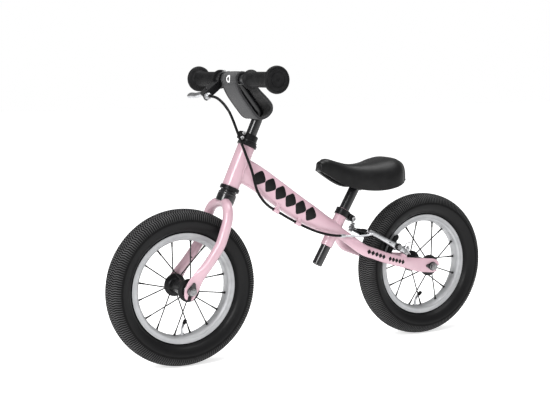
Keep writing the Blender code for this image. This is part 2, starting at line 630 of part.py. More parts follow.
def build_fork_leg(word, way, pink, parent):
    """A curved leg: from the middle under the crown, over the tyre, then raked forward to a flat end."""
    radius = FORK_LEG_RADIUS
    route = [(0.2012, 0.0016, 0.3262), (0.2025, 0.0120, 0.3256), (0.2050, 0.0240, 0.3224),
             (0.2085, 0.0345, 0.3160), (0.2112, 0.0415, 0.3065), (0.2140, 0.0450, 0.2940),
             (0.2185, 0.0460, 0.2800), (0.2300, 0.0460, 0.2480), (0.2455, 0.0460, 0.2250),
             (0.2610, 0.0460, 0.2055), (0.2700, 0.0458, 0.1950)]
    stations = [(x, way * y, z, radius, radius) for x, y, z in route]
    stations = smooth_stations(stations, 0.020)
    bore = bore_stations(stations, TUBE_WALL, False)
    flat = DROPOUT_THICKNESS / 2
    tail = [(0.2800, 0.1830, flat, 0.0130), (0.2875, 0.1720, flat, 0.0145), (0.2955, 0.1575, flat, 0.0140),
            (0.3000, 0.1450, flat, 0.0110), (0.3012, 0.1415, flat, 0.0070)]
    stations += [(x, way * DROPOUT_Y, z, wide, tall) for x, z, wide, tall in tail]
    leg = swept(f"{word}_fork_leg", stations, pink, parent, LEFT, 12)
    inside = swept(f"{word}_fork_leg_inside", bore, None, parent, LEFT, 12)
    boolean(leg, inside, "DIFFERENCE", "MANIFOLD")
    slot = axle_slot(f"{word}_front_slot", FRONT_HUB, Vector((0.25, 0.0, -0.97)).normalized(), parent)
    boolean(leg, slot, "DIFFERENCE", "MANIFOLD")
    crown = rod(f"{word}_crown_clearance", steer_point(CROWN_BOTTOM - GAP), steer_point(0.0), CROWN_RADIUS + GAP,
                None, parent, 20)
    boolean(leg, crown, "DIFFERENCE", "MANIFOLD")


def stem_stations(radius):
    """Straight up out of the steerer, then bent forward to the bar."""
    route = [steer_point(0.0350), steer_point(0.0750), steer_point(0.1100), steer_point(0.1400),
             steer_point(0.1500), Vector((0.1197, 0.0, 0.5000)), Vector((0.1220, 0.0, 0.5078)),
             Vector((0.1285, 0.0, 0.5165)), Vector((0.1390, 0.0, 0.5300)), Vector((0.1555, 0.0, 0.5515)),
             BAR_CENTRE - Vector((0.0010, 0.0, 0.0015))]
    return smooth_stations([(*point, radius, radius) for point in route], 0.018)


def build_stem(surfaces, steering, bars):
    """The clamp collar with its bolt, and the stem that slides in the steerer and carries the bar."""
    black = surfaces["black"]
    low = HEAD_TUBE_LENGTH + 0.0080
    outline = [(STEERER_RADIUS + GAP, 0.0), (0.0185, 0.0), (0.0185, 0.0042), (0.0165, 0.0046),
               (0.0165, 0.0160), (0.0152, 0.0175), (STEERER_RADIUS + GAP, 0.0175)]
    collar = turned("steering_collar", outline[::-1], steer_point(low), STEER_AXIS, black, steering, 20)
    ahead = Vector((STEER_AXIS.z, 0.0, -STEER_AXIS.x))
    centre = steer_point(low + 0.0090)
    ears = plate("collar_ears", [(0.0135, -0.0080), (0.0250, -0.0080), (0.0250, 0.0080), (0.0135, 0.0080)],
                 centre + LEFT * 0.0065, 0.0130, None, steering, ahead, STEER_AXIS)
    boolean(collar, ears, "UNION")
    slit = plate("collar_slit", [(0.0110, -0.0120), (0.0300, -0.0120), (0.0300, 0.0120), (0.0110, 0.0120)],
                 centre + LEFT * 0.0010, 0.0020, None, steering, ahead, STEER_AXIS)
    boolean(collar, slit, "DIFFERENCE")
    middle = steer_point(low + 0.0140, 0.0207)
    bore = rod("collar_bore", middle - LEFT * 0.02, middle + LEFT * 0.02, 0.0026, None, steering)
    boolean(collar, bore, "DIFFERENCE")
    bolt = [(0.0, -0.0095), (0.0021, -0.0095), (0.0021, 0.0068), (0.0036, 0.0068), (0.0036, 0.0105),
            (0.0, 0.0105)]
    turned("collar_bolt", bolt, middle, LEFT, surfaces["steel"], steering, 12)
    stations = stem_stations(STEM_RADIUS)
    stem = swept("stem", stations, black, bars, LEFT, 12)
    inside = swept("stem_inside", bore_stations(stations, TUBE_WALL), None, bars, LEFT, 12)
    boolean(stem, inside, "DIFFERENCE", "MANIFOLD")
    mouth = rod("bar_clearance", BAR_CENTRE - LEFT * 0.03, BAR_CENTRE + LEFT * 0.03, BAR_RADIUS + GAP, None,
                bars, 16)
    boolean(stem, mouth, "DIFFERENCE", "MANIFOLD")


def build_bar(surfaces, parent):
    half = LEFT * BAR_HALF_LENGTH
    ring("handlebar", BAR_RADIUS - 0.0016, BAR_RADIUS, BAR_CENTRE - half, BAR_CENTRE + half,
         surfaces["black"], parent)
    inner = BAR_RADIUS + GAP
    length = GRIP_END_Y - GRIP_INNER_Y
    outline = [(inner, 0.0), (0.0175, 0.0), (0.0195, 0.0015), (0.0195, 0.0035), (GRIP_RADIUS, 0.0065),
               (GRIP_RADIUS, length - 0.0110), (0.0245, length - 0.0085), (0.0268, length - 0.0060),
               (0.0260, length - 0.0020), (0.0220, length), (0.0, length),
               (0.0, length - 0.0036), (inner, length - 0.0036)]
    for word, way in (("left", 1), ("right", -1)):
        start = BAR_CENTRE + LEFT * way * GRIP_INNER_Y
        turned(f"{word}_grip", outline, start, LEFT * way, surfaces["rubber"], parent, 16)


def pad_outline():
    """The wrap's mid-line in the side view, from round the bar down to the stem and back."""
    centre_x, centre_z = BAR_CENTRE.x, BAR_CENTRE.z
    over_bar = arc(centre_x, centre_z, BAR_RADIUS + 0.0007 + PAD_THICKNESS / 2, -30, 150, 10)
    down_back = [(0.1360, 0.5527), (0.1186, 0.5362), (0.1082, 0.5250), (0.1055, 0.5180), (0.1062, 0.5095)]
    under = [(0.1140, 0.5005), (0.1245, 0.4955), (0.1332, 0.4955)]
    up_front = [(0.1420, 0.5017), (0.1555, 0.5180), (0.1725, 0.5405), (0.1826, 0.5595)]
    return over_bar + down_back + under + up_front


def build_pad(surfaces, parent):
    """A closed padded loop, open at both sides, with a hole in its bottom for the stem."""
    middle = [Vector((x, 0.0, z)) for x, z in pad_outline()]
    half = PAD_THICKNESS / 2
    count = len(middle)
    outer, inner = [], []
    for index, point in enumerate(middle):
        along = (middle[(index + 1) % count] - middle[index - 1]).normalized()
        outward = Vector((along.z, 0.0, -along.x))
        outer.append(point + outward * half)
        inner.append(point - outward * half)
    bm = bmesh.new()
    rings = []
    for left in (-PAD_HALF_WIDTH, PAD_HALF_WIDTH):
        for line in (outer, inner):
            rings.append([bm.verts.new(point + LEFT * left) for point in line])
    right_outer, right_inner, left_outer, left_inner = rings
    for first, second in ((right_outer, left_outer), (left_inner, right_inner),
                          (left_outer, left_inner), (right_inner, right_outer)):
        for index in range(count):
            following = (index + 1) % count
            bm.faces.new((first[index], first[following], second[following], second[index]))
    pad = add_object("safety_pad", bm, surfaces["fabric"], parent)
    hole = swept("pad_stem_hole", stem_stations(STEM_RADIUS + 0.0012)[:-4], None, parent, LEFT, 12)
    boolean(pad, hole, "DIFFERENCE")


# ---------------------------------------------------------------- brake lever

def build_lever(surfaces, bars, lever):
    """The perch clamped on the bar, its adjuster, and the blade on its pivot pin."""
    black, silver = surfaces["black"], surfaces["silver"]
    low, high = BAR_CENTRE + LEFT * -0.0610, BAR_CENTRE + LEFT * -0.0470
    perch = ring("lever_perch", BAR_RADIUS + GAP, 0.0150, low, high, black, bars, 16)
    outline = [(0.0130, -0.0620), (0.0300, -0.0680), (0.0480, -0.0720), (0.0550, -0.0670), (0.0590, -0.0560),
               (0.0610, -0.0440), (0.0280, -0.0440), (0.0130, -0.0460)]
    body = plate("perch_body", outline, BAR_CENTRE + LEVER_AXIS * 0.0080, 0.0160, None, bars,
                 LEVER_FORWARD, LEFT)
    boolean(perch, body, "UNION")
    gap_outline = [(0.0330, -0.0490), (0.0640, -0.0490), (0.0640, -0.0800), (0.0330, -0.0800)]
    mouth = plate("perch_mouth", gap_outline, BAR_CENTRE + LEVER_AXIS * 0.0034, 0.0068, None, bars,
                  LEVER_FORWARD, LEFT)
    boolean(perch, mouth, "DIFFERENCE")
    pivot = lever_point(LEVER_PIVOT_REACH, LEVER_PIVOT_Y)
    pin_bore = rod("perch_pin_bore", pivot - LEVER_AXIS * 0.02, pivot + LEVER_AXIS * 0.02, 0.0024, None, bars)
    boolean(perch, pin_bore, "DIFFERENCE")
    barrel_start = lever_point(BARREL_REACH, -0.0436)
    thread = rod("perch_barrel_bore", lever_point(BARREL_REACH, -0.0485), lever_point(BARREL_REACH, -0.03),
                 0.0034, None, bars)
    boolean(perch, thread, "DIFFERENCE")
    barrel = [(0.0, -0.0038), (0.0030, -0.0038), (0.0030, 0.0), (0.0068, 0.0), (0.0073, 0.0012),
              (0.0073, 0.0065), (0.0050, 0.0078), (0.0040, 0.0118), (0.0, 0.0118)]
    adjuster = turned("barrel_adjuster", barrel, barrel_start, LEFT, silver, bars, 12)
    socket = rod("barrel_socket", lever_point(BARREL_REACH, BARREL_MOUTH_Y - 0.0060),
                 lever_point(BARREL_REACH, -0.02), HOUSING_RADIUS + GAP, None, bars)
    boolean(adjuster, socket, "DIFFERENCE")
    pin = [(0.0, -0.0092), (0.0036, -0.0092), (0.0036, -0.0083), (0.0021, -0.0083), (0.0021, 0.0083),
           (0.0036, 0.0083), (0.0036, 0.0092), (0.0, 0.0092)]
    turned("lever_pin", pin, pivot, LEVER_AXIS, surfaces["steel"], bars, 12)
    build_blade(silver, pivot, lever)


def build_blade(silver, pivot, parent):
    """A flat curved blade, narrow at the pivot, that ends in a rounded finger tip."""
    points = [(0.0430, -0.0530, 0.0056), (0.0430, -0.0620, 0.0064), (0.0460, -0.0740, 0.0068),
              (0.0515, -0.0880, 0.0066), (0.0540, -0.1020, 0.0062), (0.0535, -0.1150, 0.0060),
              (0.0545, -0.1250, 0.0064), (0.0560, -0.1305, 0.0040)]
    stations = []
    for index, (reach, left, half) in enumerate(points):
        thick = 0.0028 if index < 3 else 0.0042
        stations.append((*lever_point(reach, left), half, thick))
    blade = swept("brake_lever", smooth_stations(stations, 0.008), silver, parent, LEVER_FORWARD, 12, 0.75)
    bore = rod("blade_bore", pivot - LEVER_AXIS * 0.02, pivot + LEVER_AXIS * 0.02, 0.0024, None, parent)
    boolean(blade, bore, "DIFFERENCE")


# ---------------------------------------------------------------- rear brake

def build_brake(surfaces, frame, arms):
    silver, steel = surfaces["silver"], surfaces["steel"]
    for word, way in (("left", 1), ("right", -1)):
        arm_joint = arms[word]
        build_arm(word, way, silver, arm_joint)
        build_brake_pad(word, way, surfaces, arm_joint)
        base = brake_point(BRAKE_PIVOT_RADIUS, way * BRAKE_PIVOT_Y)
        bolt = [(0.0, -0.0150), (0.0030, -0.0150), (0.0030, BOSS_TOP + GAP), (0.0042, BOSS_TOP + GAP),
                (0.0042, 0.0085), (0.0078, 0.0085), (0.0078, 0.0100), (0.0052, 0.0104), (0.0052, 0.0140),
                (0.0, 0.0140)]
        turned(f"{word}_pivot_bolt", bolt, base, BRAKE_AXIS, steel, frame, 12)
        build_spring(word, way, steel, arm_joint)


def build_arm(word, way, silver, parent):
    """A cast arm: a barrel on the pivot, a slotted middle for the pad and a slim upper end."""
    y = BRAKE_PIVOT_Y
    rows = [(BRAKE_PIVOT_RADIUS - 0.0060, y, 0.0062, 0.0064),
            (BRAKE_PIVOT_RADIUS + 0.0060, y, 0.0062, 0.0068),
            (0.0960, y + 0.0005, 0.0052, 0.0068), (0.1160, y + 0.0010, 0.0050, 0.0066),
            (0.1320, y + 0.0015, 0.0042, 0.0056), (0.1600, y + 0.0010, 0.0034, 0.0048),
            (0.1750, y, 0.0034, 0.0050), (BRAKE_TIP_RADIUS + 0.0045, y, 0.0034, 0.0046)]
    stations = [(*brake_point(radius, way * left), wide, tall) for radius, left, wide, tall in rows]
    arm = swept(f"{word}_brake_arm", stations, silver, parent, LEFT, 10, 0.7)
    pivot = brake_point(BRAKE_PIVOT_RADIUS, way * y)
    barrel = rod(f"{word}_arm_barrel", pivot - BRAKE_AXIS * 0.0058, pivot + BRAKE_AXIS * 0.0082, 0.0078, None,
                 parent, 12)
    boolean(arm, barrel, "UNION", "MANIFOLD")
    bore = rod(f"{word}_arm_bore", pivot - BRAKE_AXIS * 0.02, pivot + BRAKE_AXIS * 0.02, 0.0045, None, parent)
    boolean(arm, bore, "DIFFERENCE", "MANIFOLD")
    pad_spot = brake_point(BRAKE_PAD_RADIUS, 0.0)
    stud_hole = rod(f"{word}_stud_hole", pad_spot + LEFT * way * 0.02, pad_spot + LEFT * way * 0.06, 0.0034,
                    None, parent)
    boolean(arm, stud_hole, "DIFFERENCE", "MANIFOLD")
    if word == "left":
        tip = brake_point(CABLE_LINE_RADIUS, y)
        cradle = rod("left_cradle_hole", tip - LEFT * 0.02, tip + LEFT * 0.02, 0.0030, None, parent)
        boolean(arm, cradle, "DIFFERENCE", "MANIFOLD")
    else:
        tip = brake_point(CABLE_LINE_RADIUS, -y)
        hole = rod("right_anchor_hole", tip - BRAKE_AXIS * 0.02, tip + BRAKE_AXIS * 0.02, 0.0028, None,
                   parent)
        boolean(arm, hole, "DIFFERENCE", "MANIFOLD")


def build_brake_pad(word, way, surfaces, parent):
    """A rubber block along the rim, on a stud through the arm."""
    face = RIM_HALF_WIDTH + BRAKE_PAD_CLEARANCE
    bend = 0.0038
    stations = []
    for index in range(7):
        share = index / 3 - 1
        lift = share * 0.0265
        radius = BRAKE_PAD_RADIUS - bend * share * share
        end = 0.80 if index in (0, 6) else 1.0
        point = brake_point(radius, way * (face + 0.0052), lift)
        stations.append((*point, 0.0052, 0.0050 * end))
    pad = swept(f"{word}_brake_pad", stations, surfaces["plastic"], parent, LEFT, 10, 0.6)
    inside = brake_point(BRAKE_PAD_RADIUS, way * (face + 0.0080))
    outside = brake_point(BRAKE_PAD_RADIUS, way * 0.0530)
    boolean(pad, rod(f"{word}_pad_stud", inside, outside, 0.0029, None, parent), "UNION")
    collar_in = brake_point(BRAKE_PAD_RADIUS, way * (face + 0.0085))
    collar_out = brake_point(BRAKE_PAD_RADIUS, way * (BRAKE_PIVOT_Y - 0.0058))
    boolean(pad, rod(f"{word}_pad_collar", collar_in, collar_out, 0.0062, None, parent), "UNION")
    nut_in = brake_point(BRAKE_PAD_RADIUS, way * (BRAKE_PIVOT_Y + 0.0066))
    nut_out = brake_point(BRAKE_PAD_RADIUS, way * 0.0512)
    boolean(pad, rod(f"{word}_pad_nut", nut_in, nut_out, 0.0058, None, parent), "UNION")


def build_spring(word, way, steel, parent):
    """The return spring: a wire up the back of the arm that curls over at its end."""
    route = [brake_point(0.0720, way * 0.0515, -0.0020), brake_point(0.0860, way * 0.0525, 0.0040),
             brake_point(0.0950, way * 0.0535, 0.0100), brake_point(0.0900, way * 0.0545, 0.0180),
             brake_point(0.0780, way * 0.0545, 0.0200), brake_point(0.0690, way * 0.0540, 0.0140)]
    stations = smooth_stations([(*point, 0.0011, 0.0011) for point in route], 0.006)
    swept(f"{word}_spring", stations, steel, parent, LEFT, 6)


def build_brake_cable(surfaces, frame, bars, steering, arms):
    """Housing from the lever to the brake, the curved noodle, its boot, and the inner wire."""
    rubber, silver, steel = surfaces["rubber"], surfaces["silver"], surfaces["steel"]
    cord("housing_at_bars", HOUSING_TOP, HOUSING_RADIUS, rubber, bars, 0.011)
    cord("housing_at_head", HOUSING_MIDDLE, HOUSING_RADIUS, rubber, steering, 0.011)
    cord("housing_on_frame", HOUSING_REAR, HOUSING_RADIUS, rubber, frame, 0.011)
    noodle = [(*point, 0.0021, 0.0021) for point in NOODLE]
    swept("noodle", smooth_stations(noodle, 0.009), silver, arms["left"], BRAKE_AXIS, 8)
    tip = CABLE_LINE_RADIUS
    start = brake_point(tip, NOODLE_END_Y - 0.0005)
    boot = [(0.0030, 0.0), (0.0042, 0.0), (0.0050, 0.0120), (0.0042, 0.0240), (0.0036, 0.0330),
            (0.0024, 0.0400), (0.0018, 0.0400), (0.0018, 0.0040), (0.0030, 0.0)]
    turned("rubber_boot", boot[:-1], start, -LEFT, rubber, arms["left"], 12)
    route = [brake_point(tip, 0.0110), brake_point(tip, -0.0290), brake_point(tip, -0.0352, 0.0074),
             brake_point(tip, -0.0400, 0.0088), brake_point(tip - 0.0040, -0.0560, 0.0080),
             brake_point(tip - 0.0200, -0.0660, 0.0060)]
    wire = smooth_stations([(*point, 0.0009, 0.0009) for point in route], 0.008)
    wire_shape = swept("inner_wire_shape", wire, None, arms["right"], BRAKE_AXIS, 6)
    base = brake_point(tip, -BRAKE_PIVOT_Y)
    anchor = [(0.0, -0.0085), (0.0045, -0.0085), (0.0045, -0.0052), (0.0025, -0.0052), (0.0025, 0.0052),
              (0.0058, 0.0052), (0.0058, 0.0074), (0.0, 0.0074)]
    clamped = turned("wire_and_anchor", anchor, base, BRAKE_AXIS, steel, arms["right"], 12)
    boolean(clamped, wire_shape, "UNION")


# ---------------------------------------------------------------- saddle

def saddle_rows(wall, thickness):
    """The saddle's rows of (x, top, lower edge, half width), drawn in all round and on top."""
    middle, reach = (SADDLE_NOSE + SADDLE_TAIL) / 2, (SADDLE_NOSE - SADDLE_TAIL) / 2
    rows = smooth_stations([(x, 0.0, top, edge, half) for x, top, edge, half in SADDLE_ROWS], 0.020)
    inner = []
    for x, _, top, edge, half in rows:
        drawn_in = middle + (x - middle) * (1 - wall / reach)
        if half - wall > 0.004 and top - thickness - edge > 0.005:
            inner.append((drawn_in, top - thickness, edge, half - wall))
    return inner


def crowned(name, rows, surface, parent, drop=0.0):
    """Lofts sections with a crowned top and a flat bottom, which lies drop below the lower edge."""
    quarter = ((1.0, 0.0), (1.0, 0.22), (0.95, 0.50), (0.82, 0.76), (0.55, 0.93))
    profile = list(quarter) + [(0.0, 1.0)] + [(-across, up) for across, up in quarter[::-1]]
    bm = bmesh.new()
    loops = []
    for x, top, edge, half in rows:
        loop = []
        for across, up in profile:
            height = edge + (top - edge) * up if up > 0.0 else edge - drop
            loop.append(bm.verts.new((x, half * across, height)))
        loops.append(loop)
    count = len(profile)
    for first, second in zip(loops, loops[1:]):
        for corner in range(count):
            following = (corner + 1) % count
            bm.faces.new((first[corner], first[following], second[following], second[corner]))
    bm.faces.new(loops[0])
    bm.faces.new(loops[-1])
    return add_object(name, bm, surface, parent)


def build_saddle(surfaces, parent):
    """The post, the moulded base that sits on it, and the padded cover drawn down over the base."""
    ring("seatpost", POST_RADIUS - 0.0018, POST_RADIUS, seat_point(0.0), seat_point(POST_LENGTH),
         surfaces["black"], parent)
    wall, pad, shell = COVER_WALL, COVER_THICKNESS, BASE_SHELL
    cover = crowned("saddle_cover", saddle_rows(0.0, 0.0), surfaces["plastic"], parent)
    hollow = crowned("cover_hollow", saddle_rows(wall, pad), None, parent, 0.02)
    boolean(cover, hollow, "DIFFERENCE", "MANIFOLD")
    base = crowned("saddle_base", saddle_rows(wall + GAP, pad + GAP), surfaces["plastic"], parent, -0.0010)
    inside = crowned("base_hollow", saddle_rows(wall + shell, pad + shell), None, parent, 0.02)
    boolean(base, inside, "DIFFERENCE", "MANIFOLD")
    socket = rod("saddle_socket", seat_point(POST_LENGTH - 0.0190), seat_point(POST_LENGTH + 0.0060), 0.0160,
                 None, parent, 16)
    boolean(base, socket, "UNION", "MANIFOLD")
    hole = rod("post_clearance", seat_point(0.14), seat_point(POST_LENGTH + GAP), POST_RADIUS + GAP, None,
               parent, 16)
    boolean(base, hole, "DIFFERENCE", "MANIFOLD")


def main():
    clear_scene()
    surfaces = make_materials()
    frame = joint_empty("frame_origin", Vector((0.0, 0.0, 0.0)))
    steering = joint_empty("steering_axis", steer_point(0.0), frame)
    bars = joint_empty("handlebar_height_axis", steer_point(0.1200), steering)
    lever = joint_empty("brake_lever_axis", lever_point(LEVER_PIVOT_REACH, LEVER_PIVOT_Y), bars)
    front = joint_empty("front_wheel_axis", FRONT_HUB, steering)
    rear = joint_empty("rear_wheel_axis", REAR_HUB, frame)
    saddle = joint_empty("saddle_height_axis", seat_point(0.1300), frame)
    arms = {
        "left": joint_empty("left_arm_axis", brake_point(BRAKE_PIVOT_RADIUS, BRAKE_PIVOT_Y), frame),
        "right": joint_empty("right_arm_axis", brake_point(BRAKE_PIVOT_RADIUS, -BRAKE_PIVOT_Y), frame),
    }
    build_frame(surfaces, frame)
    build_headset(surfaces, frame)
    build_seat_clamp(surfaces, frame)
    build_fork(surfaces, steering)
    build_stem(surfaces, steering, bars)
    build_bar(surfaces, bars)
    build_pad(surfaces, bars)
    build_lever(surfaces, bars, lever)
    build_axle("front", FRONT_HUB, surfaces, steering)
    build_axle("rear", REAR_HUB, surfaces, frame)
    build_wheel("front", FRONT_HUB, 0.0, surfaces, front)
    build_wheel("rear", REAR_HUB, REAR_WHEEL_TURN, surfaces, rear)
    build_brake(surfaces, frame, arms)
    build_brake_cable(surfaces, frame, bars, steering, arms)
    build_saddle(surfaces, saddle)


main()
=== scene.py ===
"""The looks of the balance bike: smooth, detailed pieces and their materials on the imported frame."""
import math

import bmesh
import bpy
import numpy as np
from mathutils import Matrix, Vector


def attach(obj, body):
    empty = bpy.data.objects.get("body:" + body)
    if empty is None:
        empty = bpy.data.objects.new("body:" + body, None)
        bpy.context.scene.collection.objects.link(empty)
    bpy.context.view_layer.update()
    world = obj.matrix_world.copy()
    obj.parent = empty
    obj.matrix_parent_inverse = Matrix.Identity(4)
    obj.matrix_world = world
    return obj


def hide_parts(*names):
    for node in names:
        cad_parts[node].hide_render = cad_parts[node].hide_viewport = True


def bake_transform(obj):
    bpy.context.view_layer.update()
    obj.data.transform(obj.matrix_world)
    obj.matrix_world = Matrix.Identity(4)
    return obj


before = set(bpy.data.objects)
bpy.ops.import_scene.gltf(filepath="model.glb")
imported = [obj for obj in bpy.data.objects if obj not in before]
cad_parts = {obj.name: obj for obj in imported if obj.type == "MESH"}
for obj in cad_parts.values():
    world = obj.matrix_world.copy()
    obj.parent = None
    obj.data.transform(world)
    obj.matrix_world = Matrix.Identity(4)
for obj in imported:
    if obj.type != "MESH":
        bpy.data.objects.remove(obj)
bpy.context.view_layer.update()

# Directions and the places that every part is built from, in metres
UP = Vector((0.0, 0.0, 1.0))
LEFT = Vector((0.0, 1.0, 0.0))
ORIGIN = Vector((0.0, 0.0, 0.0))
SIDES = (("left", 1), ("right", -1))

FRONT_HUB = Vector((0.295, 0.0, 0.159))
REAR_HUB = Vector((-0.295, 0.0, 0.159))
REAR_WHEEL_TURN = math.radians(7.0)
DROPOUT_Y = 0.0445
DROPOUT_THICKNESS = 0.005
AXLE_RADIUS = 0.0045
RIM_INNER_RADIUS = 0.0965

HEAD_ANGLE = math.radians(65.4)
HEAD_BASE = Vector((0.1846, 0.0, 0.3564))
HEAD_TUBE_LENGTH = 0.0887
HEAD_TUBE_RADIUS = 0.018
STEM_RADIUS = 0.0111
CROWN_RADIUS = 0.0194
CROWN_BOTTOM = -0.0345
STEER_AXIS = Vector((-math.cos(HEAD_ANGLE), 0.0, math.sin(HEAD_ANGLE)))
STEER_AHEAD = Vector((STEER_AXIS.z, 0.0, -STEER_AXIS.x))

BAR_CENTRE = Vector((0.172, 0.0, 0.5733))
BAR_RADIUS = 0.0111
BAR_HALF_LENGTH = 0.1715
GRIP_INNER_Y = 0.065
PAD_HALF_WIDTH = 0.0325
PAD_THICKNESS = 0.0040

SEAT_ANGLE = math.radians(59.45)
POST_END = Vector((-0.0220, 0.0, 0.1784))
POST_RADIUS = 0.0111
POST_LENGTH = 0.2130
SEAT_TUBE_RADIUS = 0.0130
SEAT_AXIS = Vector((-math.cos(SEAT_ANGLE), 0.0, math.sin(SEAT_ANGLE)))
SEAT_BACK = Vector((-SEAT_AXIS.z, 0.0, SEAT_AXIS.x))

BRAKE_ANGLE = math.radians(28.3)
BRAKE_OUT = Vector((math.cos(BRAKE_ANGLE), 0.0, math.sin(BRAKE_ANGLE)))
BRAKE_AXIS = Vector((-math.sin(BRAKE_ANGLE), 0.0, math.cos(BRAKE_ANGLE)))
PIVOT_RADIUS = 0.0800
PIVOT_Y = 0.0400
PAD_RADIUS = 0.1055
CABLE_RADIUS = 0.1810
TIP_RADIUS = 0.1830
BOSS_TOP = -0.0076
NOODLE_END_Y = 0.0240

LEVER_FORWARD = Vector((0.78, 0.0, -0.6258)).normalized()
LEVER_AXIS = LEFT.cross(LEVER_FORWARD)
LEVER_PIVOT = (0.042, -0.060)
BARREL_REACH = 0.054
BARREL_MOUTH_Y = -0.0318
HOUSING_RADIUS = 0.0024 + 0.0004

GUIDE_Y = 0.0120
FRONT_GUIDE = Vector((0.0850, GUIDE_Y, 0.3030))
REAR_GUIDE = Vector((0.0325, GUIDE_Y, 0.2730))
GUIDE_CLIMB = math.radians(30)


def steer_point(height, forward=0.0, left=0.0):
    """A point given by its height along the steering axis and its offsets from it."""
    return HEAD_BASE + STEER_AXIS * height + STEER_AHEAD * forward + LEFT * left


def seat_point(height, back=0.0, left=0.0):
    return POST_END + SEAT_AXIS * height + SEAT_BACK * back + LEFT * left


def brake_point(radius, left, up=0.0):
    """A point given by its distance from the rear hub along the brake's own line."""
    return REAR_HUB + BRAKE_OUT * radius + LEFT * left + BRAKE_AXIS * up


def lever_point(reach, left, up=0.0):
    """A point in the lever's plane, reach ahead of the bar's centre line."""
    return BAR_CENTRE + LEVER_FORWARD * reach + LEFT * left + LEVER_AXIS * up


def wheel_direction(angle):
    return Vector((math.cos(angle), 0.0, math.sin(angle)))


# ---------------------------------------------------------------- camera

CAMERA_PLACE = (1.1934, 1.9855, 0.5874)
CAMERA_YAW = math.radians(60.73)
CAMERA_PITCH = math.radians(6.951)
CAMERA_LENS = 72.06
SENSOR_WIDTH = 36.0


def make_camera():
    """Looks at the bike's left side from ahead, slightly from above."""
    level = math.cos(CAMERA_PITCH)
    direction = Vector((-math.cos(CAMERA_YAW) * level, -math.sin(CAMERA_YAW) * level,
                        -math.sin(CAMERA_PITCH)))
    data = bpy.data.cameras.new("camera")
    data.lens = CAMERA_LENS
    data.sensor_width = SENSOR_WIDTH
    camera = bpy.data.objects.new("camera", data)
    bpy.context.scene.collection.objects.link(camera)
    camera.location = CAMERA_PLACE
    camera.rotation_mode = "QUATERNION"
    camera.rotation_quaternion = direction.to_track_quat("-Z", "Y")
    bpy.context.scene.camera = camera


# ---------------------------------------------------------------- shapes

def smooth_rows(rows, step, closed=False):
    """A smooth curve through rows of numbers, whose first three columns are a position."""
    rows = np.array([list(row) for row in rows], dtype=float)
    if closed:
        padded = np.vstack([rows[-1:], rows, rows[:2]])
    else:
        padded = np.vstack([2 * rows[0] - rows[1], rows, 2 * rows[-1] - rows[-2]])
    result = []
    for index in range(1, len(padded) - 2):
        before, here, there, after = padded[index - 1:index + 3]
        count = max(1, round(float(np.linalg.norm((there - here)[:3])) / step))
        for part in range(count):
            t = part / count
            result.append(0.5 * (2 * here + (there - before) * t
                                 + (2 * before - 5 * here + 4 * there - after) * t ** 2
                                 + (3 * here - before - 3 * there + after) * t ** 3))
    if not closed:
        result.append(rows[-1])
    return result


def soften(outline, size, steps=3, closed=True):
    """Rounds the corners of a flat outline with short curves."""
    result = []
    for index, corner in enumerate(outline):
        here = Vector(corner)
        before = Vector(outline[index - 1]) - here
        after = Vector(outline[(index + 1) % len(outline)]) - here
        end = not closed and index in (0, len(outline) - 1)
        if end or before.angle(after) > math.radians(158):
            result.append(tuple(corner))
            continue
        reach = min(size, before.length * 0.45, after.length * 0.45)
        start, finish = here + before.normalized() * reach, here + after.normalized() * reach
        for step in range(steps + 1):
            t = step / steps
            result.append(tuple(start * (1 - t) ** 2 + here * (2 * t * (1 - t)) + finish * t ** 2))
    return result


def arc(centre_a, centre_b, radius, start, end, count):
    """Points on an arc in a plane of its own, angles in degrees."""
    angles = [math.radians(start + (end - start) * index / (count - 1)) for index in range(count)]
    return [(centre_a + radius * math.cos(angle), centre_b + radius * math.sin(angle)) for angle in angles]


def direction_at(centres, index, closed=False):
    """The direction of a line of points at one of them."""
    if closed:
        return (centres[(index + 1) % len(centres)] - centres[index - 1]).normalized()
    return (centres[min(index + 1, len(centres) - 1)] - centres[max(index - 1, 0)]).normalized()


def squared(value, power):
    """A sine or cosine pushed outwards, for ovals with fuller corners."""
    return math.copysign(abs(value) ** power, value)


def mirrored(half):
    """A (radius, y) outline followed by its mirror image."""
    return half + [(radius, -y) for radius, y in half[::-1]]


def section_frames(centres, side):
    """For each centre: the direction along, the direction across (as near side as it can be) and up."""
    frames = []
    for index in range(len(centres)):
        along = direction_at(centres, index)
        across = (side - along * side.dot(along)).normalized()
        frames.append((along, across, along.cross(across)))
    return frames


def loft_loops(rows, side=LEFT, sides=32, squareness=1.0):
    """Oval loops at rows of (x, y, z, half width along side, half height)."""
    centres = [Vector(row[:3]) for row in rows]
    loops = []
    for centre, row, (_, across, upward) in zip(centres, rows, section_frames(centres, side)):
        loop = []
        for corner in range(sides):
            angle = 2 * math.pi * corner / sides
            width, height = squared(math.cos(angle), squareness), squared(math.sin(angle), squareness)
            loop.append(centre + across * row[3] * width + upward * row[4] * height)
        loops.append(loop)
    return loops


